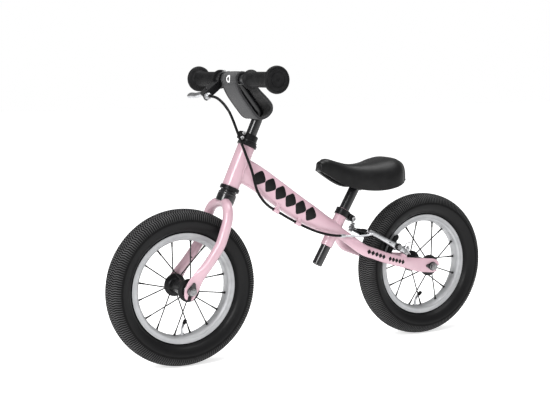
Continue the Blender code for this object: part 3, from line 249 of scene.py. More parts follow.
class Shape:
    """Closed solids that are collected and then made into one piece."""

    def __init__(self):
        self.points = []
        self.faces = []

    def skin(self, loops, closed=False):
        """Joins loops of points one after another; closed joins the last to the first, or both are capped."""
        start, count, rows = len(self.points), len(loops[0]), len(loops)
        for loop in loops:
            self.points.extend(loop)
        for row in range(rows if closed else rows - 1):
            here, there = start + row * count, start + (row + 1) % rows * count
            for corner in range(count):
                following = (corner + 1) % count
                self.faces.append((here + corner, here + following, there + following, there + corner))
        if not closed:
            self.faces.append(tuple(range(start, start + count)))
            self.faces.append(tuple(range(start + (rows - 1) * count, start + rows * count)))
        return self

    def loft(self, rows, side=LEFT, sides=32, squareness=1.0):
        return self.skin(loft_loops(rows, side, sides, squareness))

    def turn(self, outline, origin, axis, segments=48, closed=False, hexagon=None, ripple=None):
        """Spins (radius, height) points round an axis, with flat caps at its ends unless it is closed.

        Radii inside the pair hexagon are cut to a hexagon; ripple is (count, depth, least radius) of flutes.
        """
        turn = UP.rotation_difference(axis)
        loops = []
        for radius, height in outline:
            loop = []
            for index in range(segments):
                angle = 2 * math.pi * index / segments
                size = radius
                if hexagon and hexagon[0] <= radius <= hexagon[1] + 1e-9:
                    flat = (angle + math.pi / 6) % (math.pi / 3) - math.pi / 6
                    size = min(radius, hexagon[1] * math.cos(math.pi / 6) / math.cos(flat))
                if ripple and radius >= ripple[2]:
                    size -= ripple[1] * (0.5 + 0.5 * math.cos(ripple[0] * angle))
                loop.append(origin + turn @ Vector((size * math.cos(angle), size * math.sin(angle), height)))
            loops.append(loop)
        return self.skin(loops, closed)

    def rod(self, start, end, radius, segments=24, soft=0.0003):
        """A round bar with softened ends."""
        length = (end - start).length
        outline = [(radius - soft, 0.0), (radius, soft), (radius, length - soft), (radius - soft, length)]
        return self.turn(outline, start, (end - start).normalized(), segments)

    def ring(self, inner, outer, start, end, segments=64, soft=0.0005):
        """A tube between two points, with softened edges."""
        length = (end - start).length
        outline = soften([(inner, 0.0), (outer, 0.0), (outer, length), (inner, length)], soft)
        return self.turn(outline, start, (end - start).normalized(), segments, closed=True)

    def slab(self, outline, start, thickness, across, upward):
        """A flat outline of (across, upward) points, made thick along their normal."""
        normal = across.cross(upward)
        low = [start + across * a + upward * b for a, b in outline]
        return self.skin([low, [point + normal * thickness for point in low]])

    def tube(self, points, radius, sides=16, closed=False, ripple=0.0):
        """A round tube through points, which doesn't twist; ripple makes every other ring thinner."""
        centres = [Vector(tuple(point)[:3]) for point in points]
        loops, across = [], None
        for index, centre in enumerate(centres):
            along = direction_at(centres, index, closed)
            across = along.orthogonal() if across is None else across - along * across.dot(along)
            across.normalize()
            upward = along.cross(across)
            size = radius * (1 - ripple * (index % 2))
            loops.append([centre + (across * math.cos(angle) + upward * math.sin(angle)) * size
                          for angle in (2 * math.pi * corner / sides for corner in range(sides))])
        return self.skin(loops, closed)

    def object(self, name, surface=None, origin=ORIGIN, sharp=32, bevel=0.0):
        mesh = bpy.data.meshes.new(name)
        mesh.from_pydata([tuple(point - origin) for point in self.points], [], self.faces)
        bm = bmesh.new()
        bm.from_mesh(mesh)
        bmesh.ops.recalc_face_normals(bm, faces=bm.faces)
        bm.to_mesh(mesh)
        bm.free()
        mesh.shade_smooth()
        mesh.set_sharp_from_angle(angle=math.radians(sharp))
        made = bpy.data.objects.new(name, mesh)
        made.location = origin
        bpy.context.scene.collection.objects.link(made)
        if surface:
            mesh.materials.append(surface)
        if bevel:
            add_bevel(made, bevel)
        return made


def add_bevel(made, width):
    step = made.modifiers.new("edges", "BEVEL")
    step.width = width
    step.segments = 3
    step.limit_method = "ANGLE"
    step.angle_limit = math.radians(32)
    step.harden_normals = True


def carve(target, *cutters):
    """Cuts other shapes out of a piece and keeps the result as its mesh."""
    for cutter in cutters:
        step = target.modifiers.new("cut", "BOOLEAN")
        step.operation = "DIFFERENCE"
        step.solver = "EXACT"
        step.object = cutter
    keep_shape(target)
    for cutter in cutters:
        bpy.data.objects.remove(cutter, do_unlink=True)
    target.data.shade_smooth()
    target.data.set_sharp_from_angle(angle=math.radians(32))
    return target


def keep_shape(target):
    """Makes what the modifiers do a part of the mesh."""
    graph = bpy.context.evaluated_depsgraph_get()
    shown = bpy.data.meshes.new_from_object(target.evaluated_get(graph))
    target.modifiers.clear()
    target.data = shown


def cutting_rod(start, end, radius, segments=64):
    return Shape().rod(start, end, radius, segments).object("cutter")


def place(made, body, slot, *nodes):
    """A finished piece rides on a body and stands for CAD nodes, which are hidden; slot is not used."""
    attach(made, body)
    if nodes:
        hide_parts(*nodes)
    return made


# ---------------------------------------------------------------- materials

class Look:
    """A material in the making: its shader and the nodes that feed it, in the piece's own coordinates."""

    def __init__(self, name, colour, roughness, metallic=0.0, **numbers):
        self.material = bpy.data.materials.new(name)
        self.material.use_nodes = True
        self.tree = self.material.node_tree
        self.shader = self.tree.nodes["Principled BSDF"]
        self.shader.inputs["Base Color"].default_value = (*colour, 1.0)
        self.shader.inputs["Roughness"].default_value = roughness
        self.shader.inputs["Metallic"].default_value = metallic
        for socket, value in numbers.items():
            self.shader.inputs[socket.replace("_", " ")].default_value = value
        self.place = self.tree.nodes.new("ShaderNodeTexCoord").outputs["Object"]

    def node(self, kind, **settings):
        made = self.tree.nodes.new(kind)
        for name, value in settings.items():
            setattr(made, name, value)
        return made

    def feed(self, value, socket):
        if hasattr(value, "is_linked"):
            self.tree.links.new(value, socket)
        else:
            socket.default_value = value

    def math(self, operation, first, second=0.0, third=0.0):
        made = self.node("ShaderNodeMath", operation=operation)
        for value, socket in zip((first, second, third), made.inputs):
            self.feed(value, socket)
        return made.outputs[0]

    def noise(self, scale, detail=3.0, rough=0.5, stretch=(1.0, 1.0, 1.0)):
        spread = self.node("ShaderNodeMapping")
        spread.inputs["Scale"].default_value = stretch
        self.tree.links.new(self.place, spread.inputs["Vector"])
        made = self.node("ShaderNodeTexNoise")
        self.tree.links.new(spread.outputs[0], made.inputs["Vector"])
        made.inputs["Scale"].default_value = scale
        made.inputs["Detail"].default_value = detail
        made.inputs["Roughness"].default_value = rough
        return made.outputs["Fac"]

    def cells(self, scale):
        made = self.node("ShaderNodeTexVoronoi")
        self.tree.links.new(self.place, made.inputs["Vector"])
        made.inputs["Scale"].default_value = scale
        return made.outputs["Distance"]

    def apart(self):
        """The piece's own x, y and z."""
        made = self.node("ShaderNodeSeparateXYZ")
        self.tree.links.new(self.place, made.inputs[0])
        return made.outputs

    def spread(self, value, low, high, to_low, to_high):
        made = self.node("ShaderNodeMapRange")
        self.feed(value, made.inputs["Value"])
        for socket, number in zip(("From Min", "From Max", "To Min", "To Max"), (low, high, to_low, to_high)):
            made.inputs[socket].default_value = number
        return made.outputs["Result"]

    def colours(self, value, low, high):
        """Blends two colours by a value from 0 to 1, and feeds the shader's colour."""
        made = self.node("ShaderNodeMix", data_type="RGBA")
        self.feed(value, made.inputs[0])
        made.inputs[6].default_value = (*low, 1.0)
        made.inputs[7].default_value = (*high, 1.0)
        self.tree.links.new(made.outputs[2], self.shader.inputs["Base Color"])

    def tint(self, value, low, high, dark, light):
        """Goes from the colour dark to light as a value climbs from low to high."""
        self.colours(self.spread(value, low, high, 0.0, 1.0), dark, light)

    def wear(self, value, smooth, rough):
        """Lets the roughness wander between two levels with a noise."""
        self.roughness(self.spread(value, 0.3, 0.7, smooth, rough))

    def radius(self, x, z):
        """The distance from the wheel's axle."""
        squares = self.math("MULTIPLY", x, x), self.math("MULTIPLY", z, z)
        return self.math("SQRT", self.math("ADD", *squares))

    def roughness(self, value):
        self.tree.links.new(value, self.shader.inputs["Roughness"])

    def bump(self, height, distance, strength=1.0, socket="Normal"):
        made = self.node("ShaderNodeBump")
        made.inputs["Distance"].default_value = distance
        made.inputs["Strength"].default_value = strength
        self.feed(height, made.inputs["Height"])
        self.tree.links.new(made.outputs["Normal"], self.shader.inputs[socket])


def pink_paint():
    look = Look("pink_paint", PINK, 0.34, Coat_Weight=0.45, Coat_Roughness=0.10)
    look.tint(look.noise(22.0, 4.0), 0.35, 0.65, PINK_DEEP, PINK)
    look.wear(look.noise(160.0), 0.30, 0.40)
    look.bump(look.noise(620.0, 2.0), 0.00025, 0.22)
    return look.material


def black_paint():
    look = Look("black_paint", (0.006, 0.006, 0.007), 0.24, Coat_Weight=0.35, Coat_Roughness=0.12,
                Specular_IOR_Level=0.35)
    look.wear(look.noise(140.0, 4.0), 0.20, 0.32)
    look.bump(look.noise(700.0, 2.0), 0.0002, 0.25)
    return look.material


def black_alloy():
    look = Look("black_alloy", (0.010, 0.010, 0.011), 0.32, 0.45, Specular_IOR_Level=0.25)
    look.wear(look.noise(260.0, 4.0), 0.26, 0.40)
    look.bump(look.noise(1500.0, 2.0), 0.0001, 0.3)
    return look.material


def black_steel():
    """Black spokes and nipples, a little worn."""
    look = Look("black_steel", (0.008, 0.008, 0.009), 0.45, 0.0, Specular_IOR_Level=0.20)
    look.tint(look.noise(300.0, 4.0), 0.55, 0.75, (0.005, 0.005, 0.005), (0.016, 0.016, 0.017))
    look.wear(look.noise(400.0), 0.30, 0.46)
    return look.material


def rim_alloy():
    """Turned alloy: its fine lines run round the wheel."""
    look = Look("rim_alloy", (0.42, 0.43, 0.44), 0.48, 0.55, Specular_IOR_Level=0.3)
    x, y, z = look.apart()[0:3]
    radius = look.radius(x, z)
    lines = look.math("SINE", look.math("MULTIPLY", look.math("ADD", radius, y), 14000.0))
    look.bump(look.math("ADD", look.math("MULTIPLY", lines, 0.4), look.noise(900.0, 3.0)), 0.00012, 0.25)
    look.tint(look.noise(40.0, 5.0), 0.35, 0.65, (0.355, 0.36, 0.37), (0.415, 0.42, 0.43))
    look.wear(look.noise(120.0, 4.0), 0.44, 0.56)
    return look.material


def silver_alloy():
    look = Look("silver_alloy", (0.66, 0.67, 0.69), 0.30, 1.0)
    look.tint(look.noise(70.0, 5.0), 0.35, 0.7, (0.34, 0.345, 0.355), (0.52, 0.525, 0.54))
    look.wear(look.noise(500.0, 4.0, stretch=(0.3, 1.0, 1.0)), 0.22, 0.42)
    look.bump(look.noise(1200.0, 3.0), 0.0001, 0.25)
    return look.material


def bright_steel():
    look = Look("bright_steel", (0.62, 0.62, 0.63), 0.22, 1.0)
    look.tint(look.noise(250.0, 5.0), 0.45, 0.75, (0.46, 0.46, 0.47), (0.26, 0.255, 0.25))
    look.wear(look.noise(600.0, 4.0), 0.16, 0.34)
    return look.material


def dull_steel():
    """Plated nuts that have gone grey."""
    look = Look("dull_steel", (0.20, 0.20, 0.20), 0.30, 1.0)
    look.tint(look.noise(250.0, 5.0), 0.40, 0.75, (0.24, 0.24, 0.245), (0.10, 0.10, 0.10))
    look.wear(look.noise(600.0, 4.0), 0.22, 0.42)
    return look.material


def tyre_rubber():
    """Matte rubber: greyer on the worn tread than on the sidewalls, with faint moulding marks."""
    look = Look("tyre_rubber", (0.02, 0.02, 0.021), 0.62, Specular_IOR_Level=0.13)
    x, _, z = look.apart()[0:3]
    radius = look.radius(x, z)
    worn = look.spread(radius, 0.1360, 0.1540, 0.0, 1.0)
    patchy = look.math("MULTIPLY", look.spread(look.noise(60.0, 5.0), 0.3, 0.7, 0.7, 1.2), worn)
    look.colours(patchy, (0.006, 0.006, 0.0064), (0.066, 0.066, 0.067))
    look.roughness(look.math("ADD", look.spread(look.noise(180.0, 4.0), 0.3, 0.7, 0.32, 0.46),
                             look.math("MULTIPLY", worn, 0.25)))
    look.bump(look.noise(1400.0, 3.0), 0.0002, 0.3)
    return look.material


def shaded_tyre_groove():
    """The bottom of the tread, darker than the rubber anywhere else on the tyre: painted shade in the
    grooves.
    """
    look = Look("shaded_tyre_groove", (0.004, 0.004, 0.0042), 0.75, Specular_IOR_Level=0.10)
    look.wear(look.noise(180.0, 4.0), 0.65, 0.85)
    return look.material


def grip_rubber():
    look = Look("grip_rubber", (0.010, 0.010, 0.011), 0.50, Specular_IOR_Level=0.11)
    look.tint(look.noise(90.0, 4.0), 0.35, 0.65, (0.004, 0.004, 0.0044), (0.009, 0.009, 0.0096))
    look.wear(look.noise(300.0, 4.0), 0.46, 0.62)
    look.bump(look.noise(1800.0, 3.0), 0.0002, 0.4)
    return look.material


def black_plastic():
    look = Look("black_plastic", (0.003, 0.003, 0.0033), 0.40, Specular_IOR_Level=0.12)
    look.wear(look.noise(250.0, 4.0), 0.34, 0.50)
    look.bump(look.cells(2200.0), 0.0001, 0.35)
    return look.material


def saddle_skin():
    """Soft black skin with a fine pebbled grain."""
    look = Look("saddle_skin", (0.012, 0.012, 0.013), 0.40, Specular_IOR_Level=0.20)
    look.tint(look.noise(45.0, 5.0), 0.35, 0.65, (0.0035, 0.0035, 0.0037), (0.0065, 0.0065, 0.0068))
    look.wear(look.noise(220.0, 4.0), 0.33, 0.45)
    grain = look.math("ADD", look.cells(1100.0), look.math("MULTIPLY", look.noise(2400.0, 3.0), 0.5))
    look.bump(grain, 0.00025, 0.35)
    return look.material


def woven_fabric(name, dark, light, rough):
    """A plain weave of round threads, over and under."""
    look = Look(name, light, rough, Sheen_Weight=0.12, Sheen_Roughness=0.5, Specular_IOR_Level=0.25)
    x, y, z = look.apart()[0:3]
    pitch = 4200.0
    warp = look.math("SINE", look.math("MULTIPLY", y, pitch))
    weft = look.math("SINE", look.math("MULTIPLY", look.math("SUBTRACT", z, x), pitch))
    weave = look.spread(look.math("MULTIPLY", warp, weft), -1.0, 1.0, 0.0, 1.0)
    cloudy = look.math("MULTIPLY", weave, look.spread(look.noise(400.0, 5.0), 0.3, 0.7, 0.6, 1.1))
    look.colours(cloudy, dark, light)
    look.bump(look.math("ADD", weave, look.noise(2600.0, 3.0)), 0.0003, 0.5)
    return look.material


def plain_ink(name, colour):
    """A printed or foil mark with a slightly uneven edge to its gloss."""
    look = Look(name, colour, 0.40, Specular_IOR_Level=0.15)
    look.wear(look.noise(300.0, 4.0), 0.34, 0.48)
    return look.material


def floor_paper():
    """Pale paper that is lit from below, as on a light table."""
    look = Look("floor_paper", (0.86, 0.86, 0.86), 0.85)
    look.shader.inputs["Emission Color"].default_value = (1.0, 1.0, 1.0, 1.0)
    look.shader.inputs["Emission Strength"].default_value = 0.66
    look.bump(look.noise(30.0, 4.0), 0.0005, 0.1)
    return look.material


PINK = (0.490, 0.322, 0.372)
PINK_DEEP = (0.462, 0.298, 0.348)


def make_materials():
    return {
        "pink": pink_paint(),
        "paint": black_paint(),
        "alloy": black_alloy(),
        "dark_steel": black_steel(),
        "rim": rim_alloy(),
        "silver": silver_alloy(),
        "steel": bright_steel(),
        "dull": dull_steel(),
        "tyre": tyre_rubber(),
        # Painted shade for the tread's grooves.
        "groove": shaded_tyre_groove(),
        "rubber": grip_rubber(),
        "plastic": black_plastic(),
        "saddle": saddle_skin(),
        "fabric": woven_fabric("grey_fabric", (0.016, 0.016, 0.017), (0.062, 0.062, 0.065), 0.86),
        # The wrap's near-black inner fabric is painted shade for the inside of the wrap.
        "inner_shade": woven_fabric("painted_shade_inner", (0.003, 0.003, 0.003), (0.008, 0.008, 0.0085), 0.90),
        "binding": woven_fabric("edge_binding", (0.010, 0.010, 0.011), (0.030, 0.030, 0.032), 0.80),
        "ink": plain_ink("dark_print", (0.004, 0.004, 0.004)),
        "grey_ink": plain_ink("grey_print", (0.10, 0.09, 0.095)),
        "white": plain_ink("white_print", (0.85, 0.85, 0.85)),
    }


# ---------------------------------------------------------------- studio

FLOOR_REACH = 14.0
LIGHT_TARGET = (0.0, 0.0, 0.3)


def area_light(name, location, size, energy):
    data = bpy.data.lights.new(name, "AREA")
    data.energy = energy
    data.shape = "RECTANGLE"
    data.size, data.size_y = size
    light = bpy.data.objects.new(name, data)
    bpy.context.scene.collection.objects.link(light)
    light.location = location
    light.rotation_mode = "QUATERNION"
    light.rotation_quaternion = (Vector(LIGHT_TARGET) - Vector(location)).to_track_quat("-Z", "Y")


def light_the_sky(tree):
    """White where the surround meets the floor, dimmer walls above it, and a bright ceiling."""
    direction = tree.nodes.new("ShaderNodeTexCoord")
    apart = tree.nodes.new("ShaderNodeSeparateXYZ")
    ramp = tree.nodes.new("ShaderNodeValToRGB")
    tree.links.new(direction.outputs["Generated"], apart.inputs[0])
    tree.links.new(apart.outputs["Z"], ramp.inputs["Fac"])
    tree.links.new(ramp.outputs["Color"], tree.nodes["Background"].inputs["Color"])
    ramp.color_ramp.elements[0].position = 0.10
    ramp.color_ramp.elements[0].color = (1.0, 1.0, 1.0, 1.0)
    ramp.color_ramp.elements[1].position = 1.0
    ramp.color_ramp.elements[1].color = (1.0, 1.0, 1.0, 1.0)
    for height, level in ((0.20, 0.26), (0.62, 0.34)):
        added = ramp.color_ramp.elements.new(height)
        added.color = (level, level, level, 1.0)


def make_studio():
    """A white surround, a wide pale floor and large soft lights."""
    scene = bpy.context.scene
    scene.view_settings.view_transform = "Standard"
    world = bpy.data.worlds.new("studio")
    world.use_nodes = True
    light_the_sky(world.node_tree)
    scene.world = world
    reach = FLOOR_REACH
    mesh = bpy.data.meshes.new("floor")
    mesh.from_pydata([(-reach, -reach, 0), (reach, -reach, 0), (reach, reach, 0), (-reach, reach, 0)], [],
                     [(0, 1, 2, 3)])
    mesh.materials.append(floor_paper())
    floor = bpy.data.objects.new("floor", mesh)
    scene.collection.objects.link(floor)
    area_light("key", (2.1, 1.3, 1.5), (0.7, 1.3), 52.0)
    area_light("top", (-0.3, 0.2, 2.3), (1.5, 1.5), 44.0)


# ---------------------------------------------------------------- wheels

RIBS = 200
RIB_STEPS = (0.0, 0.34, 0.46, 0.88)
RIB_HIGH = (0.0, 0.0, 1.0, 1.0)
GROOVE_STEPS = (0, 1, 3)
TREAD_DEPTH = 0.0021
TREAD_REACH = 0.0385
GROOVE_OFFSET = 0.0018
SIDEWALL_RINGS = ((0.0455, 0.0008), (0.0560, 0.0007))
WAVE_SIZE = 0.26
WAVE_LENGTH = 0.0105
SPOKES_PER_SIDE = 8
SPOKE_RADIUS = 0.00135
SPOKE_START_RADIUS = 0.0190
SPOKE_START_Y = 0.0338
SPOKE_END_Y = 0.0035


def tyre_lines():
    """The tyre's outer line from one bead to the other, then its inner line back, as (y, radius)."""
    half = [(0.0119, 0.1046), (0.0121, 0.1122), (0.0150, 0.1146), (0.0215, 0.1190), (0.0263, 0.1258),
            (0.0287, 0.1330), (0.0285, 0.1400), (0.0262, 0.1463), (0.0219, 0.1520), (0.0160, 0.1562),
            (0.0085, 0.1584)]
    rows = [(y, radius, 0.0) for y, radius in half] + [(0.0, 0.1590, 0.0)]
    rows += [(-y, radius, 0.0) for y, radius in half[::-1]]
    outer = [(row[0], row[1]) for row in smooth_rows(rows, 0.0016)]
    inner = [(-0.0092, 0.1046), (-0.0110, 0.1150), (-0.0255, 0.1325), (-0.0180, 0.1490), (0.0, 0.1555),
             (0.0180, 0.1490), (0.0255, 0.1325), (0.0110, 0.1150), (0.0092, 0.1046)]
    return outer, inner


def from_crown(outer):
    """Each point's distance along the outer line from the middle of the tread."""
    steps = [0.0]
    for here, there in zip(outer, outer[1:]):
        steps.append(steps[-1] + math.dist(here, there))
    middle = steps[-1] / 2
    return [abs(step - middle) for step in steps]


def bump_at(distance, place, width):
    """A smooth bump of height 1 at a place."""
    return math.exp(-((distance - place) / width) ** 2)


def build_tyre(prefix, hub, looks, body):
    """A tyre with narrow wavy ribs across the tread, a groove beside it and rings on its sidewalls."""
    outer, inner = tyre_lines()
    spans = from_crown(outer)
    grid = []
    for rib in range(RIBS):
        for step, high in zip(RIB_STEPS, RIB_HIGH):
            loop = []
            for (y, radius), span in zip(outer, spans):
                tread = 1.0 if span < TREAD_REACH else 0.0
                depth = TREAD_DEPTH * tread * (1.0 - high)
                depth += 0.0011 * bump_at(span, TREAD_REACH + GROOVE_OFFSET, 0.0012)
                depth += 0.0007 * bump_at(span, 0.0088, 0.0007) * tread
                depth -= 0.00035 * sum(bump_at(span, *ring) for ring in SIDEWALL_RINGS)
                wave = WAVE_SIZE * math.sin(2 * math.pi * y / WAVE_LENGTH) * tread
                wave *= 1.0 - bump_at(span, TREAD_REACH, 0.0120)
                angle = 2 * math.pi * (rib + step + wave) / RIBS
                size = radius - depth
                loop.append(hub + Vector((size * math.cos(angle), y, size * math.sin(angle))))
            angle = 2 * math.pi * (rib + step) / RIBS
            loop += [hub + Vector((radius * math.cos(angle), y, radius * math.sin(angle)))
                     for y, radius in inner]
            grid.append(loop)
    tyre = Shape().skin(grid, closed=True).object(prefix + "_tyre_tread", looks["tyre"], hub, 40)
    # The groove faces take the darker material: painted shade in the tread's recesses.
    tyre.data.materials.append(looks["groove"])
    for face in tyre.data.polygons:
        loop, corner = divmod(face.index, len(outer) + len(inner))
        span = spans[corner] if corner < len(outer) else 1.0
        low = loop % len(RIB_STEPS) in GROOVE_STEPS
        if (span < TREAD_REACH and low) or abs(span - TREAD_REACH - GROOVE_OFFSET) < 0.0016:
            face.material_index = 1
    place(tyre, body, "tyre", prefix + "_tyre")


def build_rim(prefix, hub, looks, body):
    """A box rim with hooked edges, flat braking bands and a rounded inner face."""
    half = [(0.1118, 0.0122), (0.1122, 0.0146), (0.1095, 0.0146), (0.1090, 0.0143), (0.1042, 0.0143),
            (0.1036, 0.0146), (0.1022, 0.0144), (0.0993, 0.0122), (0.0974, 0.0088), (0.0966, 0.0040)]
    inside = [(0.0984, 0.0040), (0.0990, 0.0080), (0.1030, 0.0122)]
    outline = mirrored(half)
    outline += [(radius, -y) for radius, y in inside[::-1]] + inside
    outline = soften(outline, 0.0005, 2)
    rim = Shape().turn(outline, hub, LEFT, 160, closed=True)
    place(rim.object(prefix + "_rim_band", looks["rim"], hub), body, "silver_alloy", prefix + "_rim")


def spoke_line(hub, angle, way):
    out = wheel_direction(angle)
    start = hub + out * SPOKE_START_RADIUS + LEFT * way * SPOKE_START_Y
    end = hub + out * RIM_INNER_RADIUS + LEFT * way * SPOKE_END_Y
    return start, end


def build_spokes(prefix, hub, turn, looks, body):
    spokes, nipples, heads = Shape(), Shape(), Shape()
    for way in (1, -1):
        for index in range(SPOKES_PER_SIDE):
            angle = math.radians(-90) + turn + way * math.radians(90 / SPOKES_PER_SIDE)
            angle += index * math.radians(360 / SPOKES_PER_SIDE)
            start, end = spoke_line(hub, angle, way)
            along = (end - start).normalized()
            spokes.rod(start, end, SPOKE_RADIUS, 10, 0.0001)
            nipple = [(0.0013, -0.0128), (0.0018, -0.0124), (0.0018, -0.0060), (0.0020, -0.0052),
                      (0.0020, -0.0018), (0.0028, -0.0006), (0.0028, 0.0006)]
            nipples.turn(nipple, end, along, 12)
            heads.rod(start - along * 0.0008, start + along * 0.0036, 0.0019, 12, 0.0005)
    place(spokes.object(prefix + "_spokes", looks["dark_steel"], hub), body, "black_alloy")
    place(nipples.object(prefix + "_nipples", looks["dark_steel"], hub), body, "black_alloy")
    place(heads.object(prefix + "_spoke_heads", looks["dark_steel"], hub), body, "black_alloy")


def build_hub(prefix, hub, looks, body):
    """A turned shell with two flanges; fine rings catch the light."""
    half = [(0.0076, 0.0372), (0.0120, 0.0372), (0.0124, 0.0366), (0.0175, 0.0366), (0.0180, 0.0360),
            (0.0220, 0.0359), (0.0235, 0.0350), (0.0235, 0.0322), (0.0222, 0.0314), (0.0160, 0.0303),
            (0.0136, 0.0280), (0.0131, 0.0240), (0.0131, 0.0120), (0.0135, 0.0112), (0.0135, 0.0088),
            (0.0131, 0.0080)]
    outline = soften(mirrored(half), 0.0005, 2)
    shell = Shape().turn(outline, hub, LEFT, 72, closed=True)
    place(shell.object(prefix + "_hub_shell", looks["alloy"], hub), body, "black_alloy", prefix + "_hub")
    caps = Shape()
    for way in (1, -1):
        caps.ring(0.0079, 0.0112, hub + LEFT * way * 0.0368, hub + LEFT * way * 0.0379, 48, 0.0003)
    place(caps.object(prefix + "_dust_rings", looks["steel"], hub), body, "bright_steel")


def valve_route(hub, angle):
    out = wheel_direction(angle)
    points = [(0.0990, 0.0), (0.0920, 0.0), (0.0860, 0.0), (0.0800, 0.0014), (0.0745, 0.0055),
              (0.0685, 0.0115)]
    return [hub + out * radius + LEFT * left for radius, left in points]


def build_valve(prefix, hub, angle, looks, body):
    """The bent metal valve, its ring nut at the rim, and the black cap on its end."""
    route = valve_route(hub, angle)
    out = wheel_direction(angle)
    tip = (route[-1] - route[-2]).normalized()
    valve = Shape().tube(smooth_rows(route, 0.0012), 0.0029, 24)
    valve.turn([(0.0044, 0.0), (0.0052, 0.0004), (0.0052, 0.0022), (0.0044, 0.0028)],
               hub + out * (RIM_INNER_RADIUS + 0.0006), -out, 48, hexagon=(0.0, 0.0052))
    valve.turn([(0.0036, 0.0), (0.0036, 0.0016)], route[-1] - tip * 0.0045, tip, 24)
    place(valve.object(prefix + "_valve", looks["silver"], hub), body, "silver_alloy", prefix + "_inner_tube")
    cap = [(0.0036, -0.0022), (0.0041, -0.0018), (0.0041, 0.0030), (0.0038, 0.0036), (0.0038, 0.0058),
           (0.0030, 0.0068), (0.0012, 0.0072)]
    made = Shape().turn(cap, route[-1], tip, 48, ripple=(16, 0.0003, 0.0040))
    place(made.object(prefix + "_valve_cap", looks["plastic"], hub), body, "black_rubber")


def build_axle(prefix, hub, looks, body):
    """The threaded axle, its lock nuts, and outside each dropout a tab washer and a hexagon nut."""
    half = [(0.0036, 0.0585), (0.0043, 0.0580)]
    thread_start, pitch = 0.0575, 0.0010
    for index in range(9):
        y = thread_start - index * pitch
        half += [(0.0045, y), (0.0045, y - 0.0003), (0.0041, y - 0.0005), (0.0041, y - 0.0007)]
    half += [(0.0045, 0.0470), (0.0045, 0.0417), (0.0084, 0.0417), (0.0088, 0.0413), (0.0088, 0.0384),
             (0.0084, 0.0380), (0.0070, 0.0380), (0.0070, 0.0290), (0.0045, 0.0290)]
    outline = mirrored(half)
    axle = Shape().turn(outline, hub, LEFT, 48, hexagon=(0.0080, 0.0088))
    place(axle.object(prefix + "_axle_rod", looks["dull"], hub), body, "bright_steel", prefix + "_axle")
    for word, way in SIDES:
        side = LEFT * way
        face = hub + side * (DROPOUT_Y + DROPOUT_THICKNESS / 2 + 0.0003)
        build_tab_washer(f"{prefix}_{word}_washer", hub, face, side, looks, body)
        nut = [(0.0046, 0.0), (0.0086, 0.0), (0.0086, 0.0011), (0.0080, 0.0016), (0.0074, 0.0018),
               (0.0082, 0.0021), (0.0082, 0.0062), (0.0076, 0.0070), (0.0062, 0.0074), (0.0046, 0.0074)]
        made = Shape().turn(nut, face + side * 0.0023, side, 72, closed=True, hexagon=(0.0074, 0.0082))
        made = made.object(f"{prefix}_{word}_hex_nut", looks["dull"], hub, 25)
        place(made, body, "bright_steel", f"{prefix}_{word}_nut")


def build_tab_washer(node, hub, face, side, looks, body):
    """A washer with one pointed tab that lies against the dropout."""
    point = Vector((-0.35, 0.0, 0.94)) if hub.x > 0 else Vector((1.0, 0.0, 0.13))
    point.normalize()
    outline = arc(0, 0, 0.0098, 50, 310, 40) + [(0.0130, -0.0042), (0.0165, -0.0030), (0.0185, 0.0),
                                                 (0.0165, 0.0030), (0.0130, 0.0042)]
    washer = Shape().slab(outline, face, 0.0020, point, side.cross(point))
    washer = washer.object(node + "_plate", looks["paint"])
    carve(washer, cutting_rod(hub + side * 0.03, hub + side * 0.07, AXLE_RADIUS + 0.0002, 48))
    add_bevel(washer, 0.0004)
    place(washer, body, "black_metal", node)


def build_wheel(prefix, hub, turn, looks, body):
    build_tyre(prefix, hub, looks, body)
    build_rim(prefix, hub, looks, body)
    build_hub(prefix, hub, looks, body)
    build_spokes(prefix, hub, turn, looks, body)
    build_valve(prefix, hub, math.radians(-90) + turn, looks, body)


# ---------------------------------------------------------------- frame

def weld_bead(shape, loops, origin, axis, radius, size=0.0017):
    """A rippled bead where a loft's loops first leave a cylinder."""
    line = []
    for corner in range(len(loops[0])):
        column = [loop[corner] for loop in loops]
        apart = [(point - origin - axis * (point - origin).dot(axis)).length - radius for point in column]
        for here, there, low, high in zip(column, column[1:], apart, apart[1:]):
            if low <= 0.0 < high:
                line.append((*here.lerp(there, -low / (high - low)), 0.0))
                break
    shape.tube(smooth_rows(line, 0.0009, closed=True), size, 12, closed=True, ripple=0.16)


def main_tube_rows():
    """A tall oval that slims and flattens out towards the seat tube."""
    return smooth_rows([
        (0.1675, 0, 0.3932, 0.0165, 0.0258), (0.1450, 0, 0.3832, 0.0175, 0.0257),
        (0.1195, 0, 0.3680, 0.0190, 0.0255),
        (0.083, 0, 0.3426, 0.0200, 0.0255), (0.034, 0, 0.3085, 0.0200, 0.0250),
        (-0.006, 0, 0.2840, 0.0198, 0.0228), (-0.038, 0, 0.2650, 0.0196, 0.0195),
        (-0.070, 0, 0.2490, 0.0190, 0.0165)], 0.006)


def seat_tube_cutter():
    return cutting_rod(seat_point(0.02), seat_point(0.15), SEAT_TUBE_RADIUS - 0.0006)


def build_main_tube(looks):
    rows = main_tube_rows()
    tube = Shape().loft(rows, LEFT, 64).object("main_tube_paint", looks["pink"])
    carve(tube, cutting_rod(steer_point(-0.02), steer_point(0.11), HEAD_TUBE_RADIUS - 0.0008),
          seat_tube_cutter())
    place(tube, "frame", "pink_paint", "main_tube")
    beads = Shape()
    loops = loft_loops(rows, LEFT, 48)
    weld_bead(beads, loops, HEAD_BASE, STEER_AXIS, HEAD_TUBE_RADIUS)
    weld_bead(beads, loops[::-1], POST_END, SEAT_AXIS, SEAT_TUBE_RADIUS)
    place(beads.object("main_tube_welds", looks["pink"]), "frame", "pink_paint")


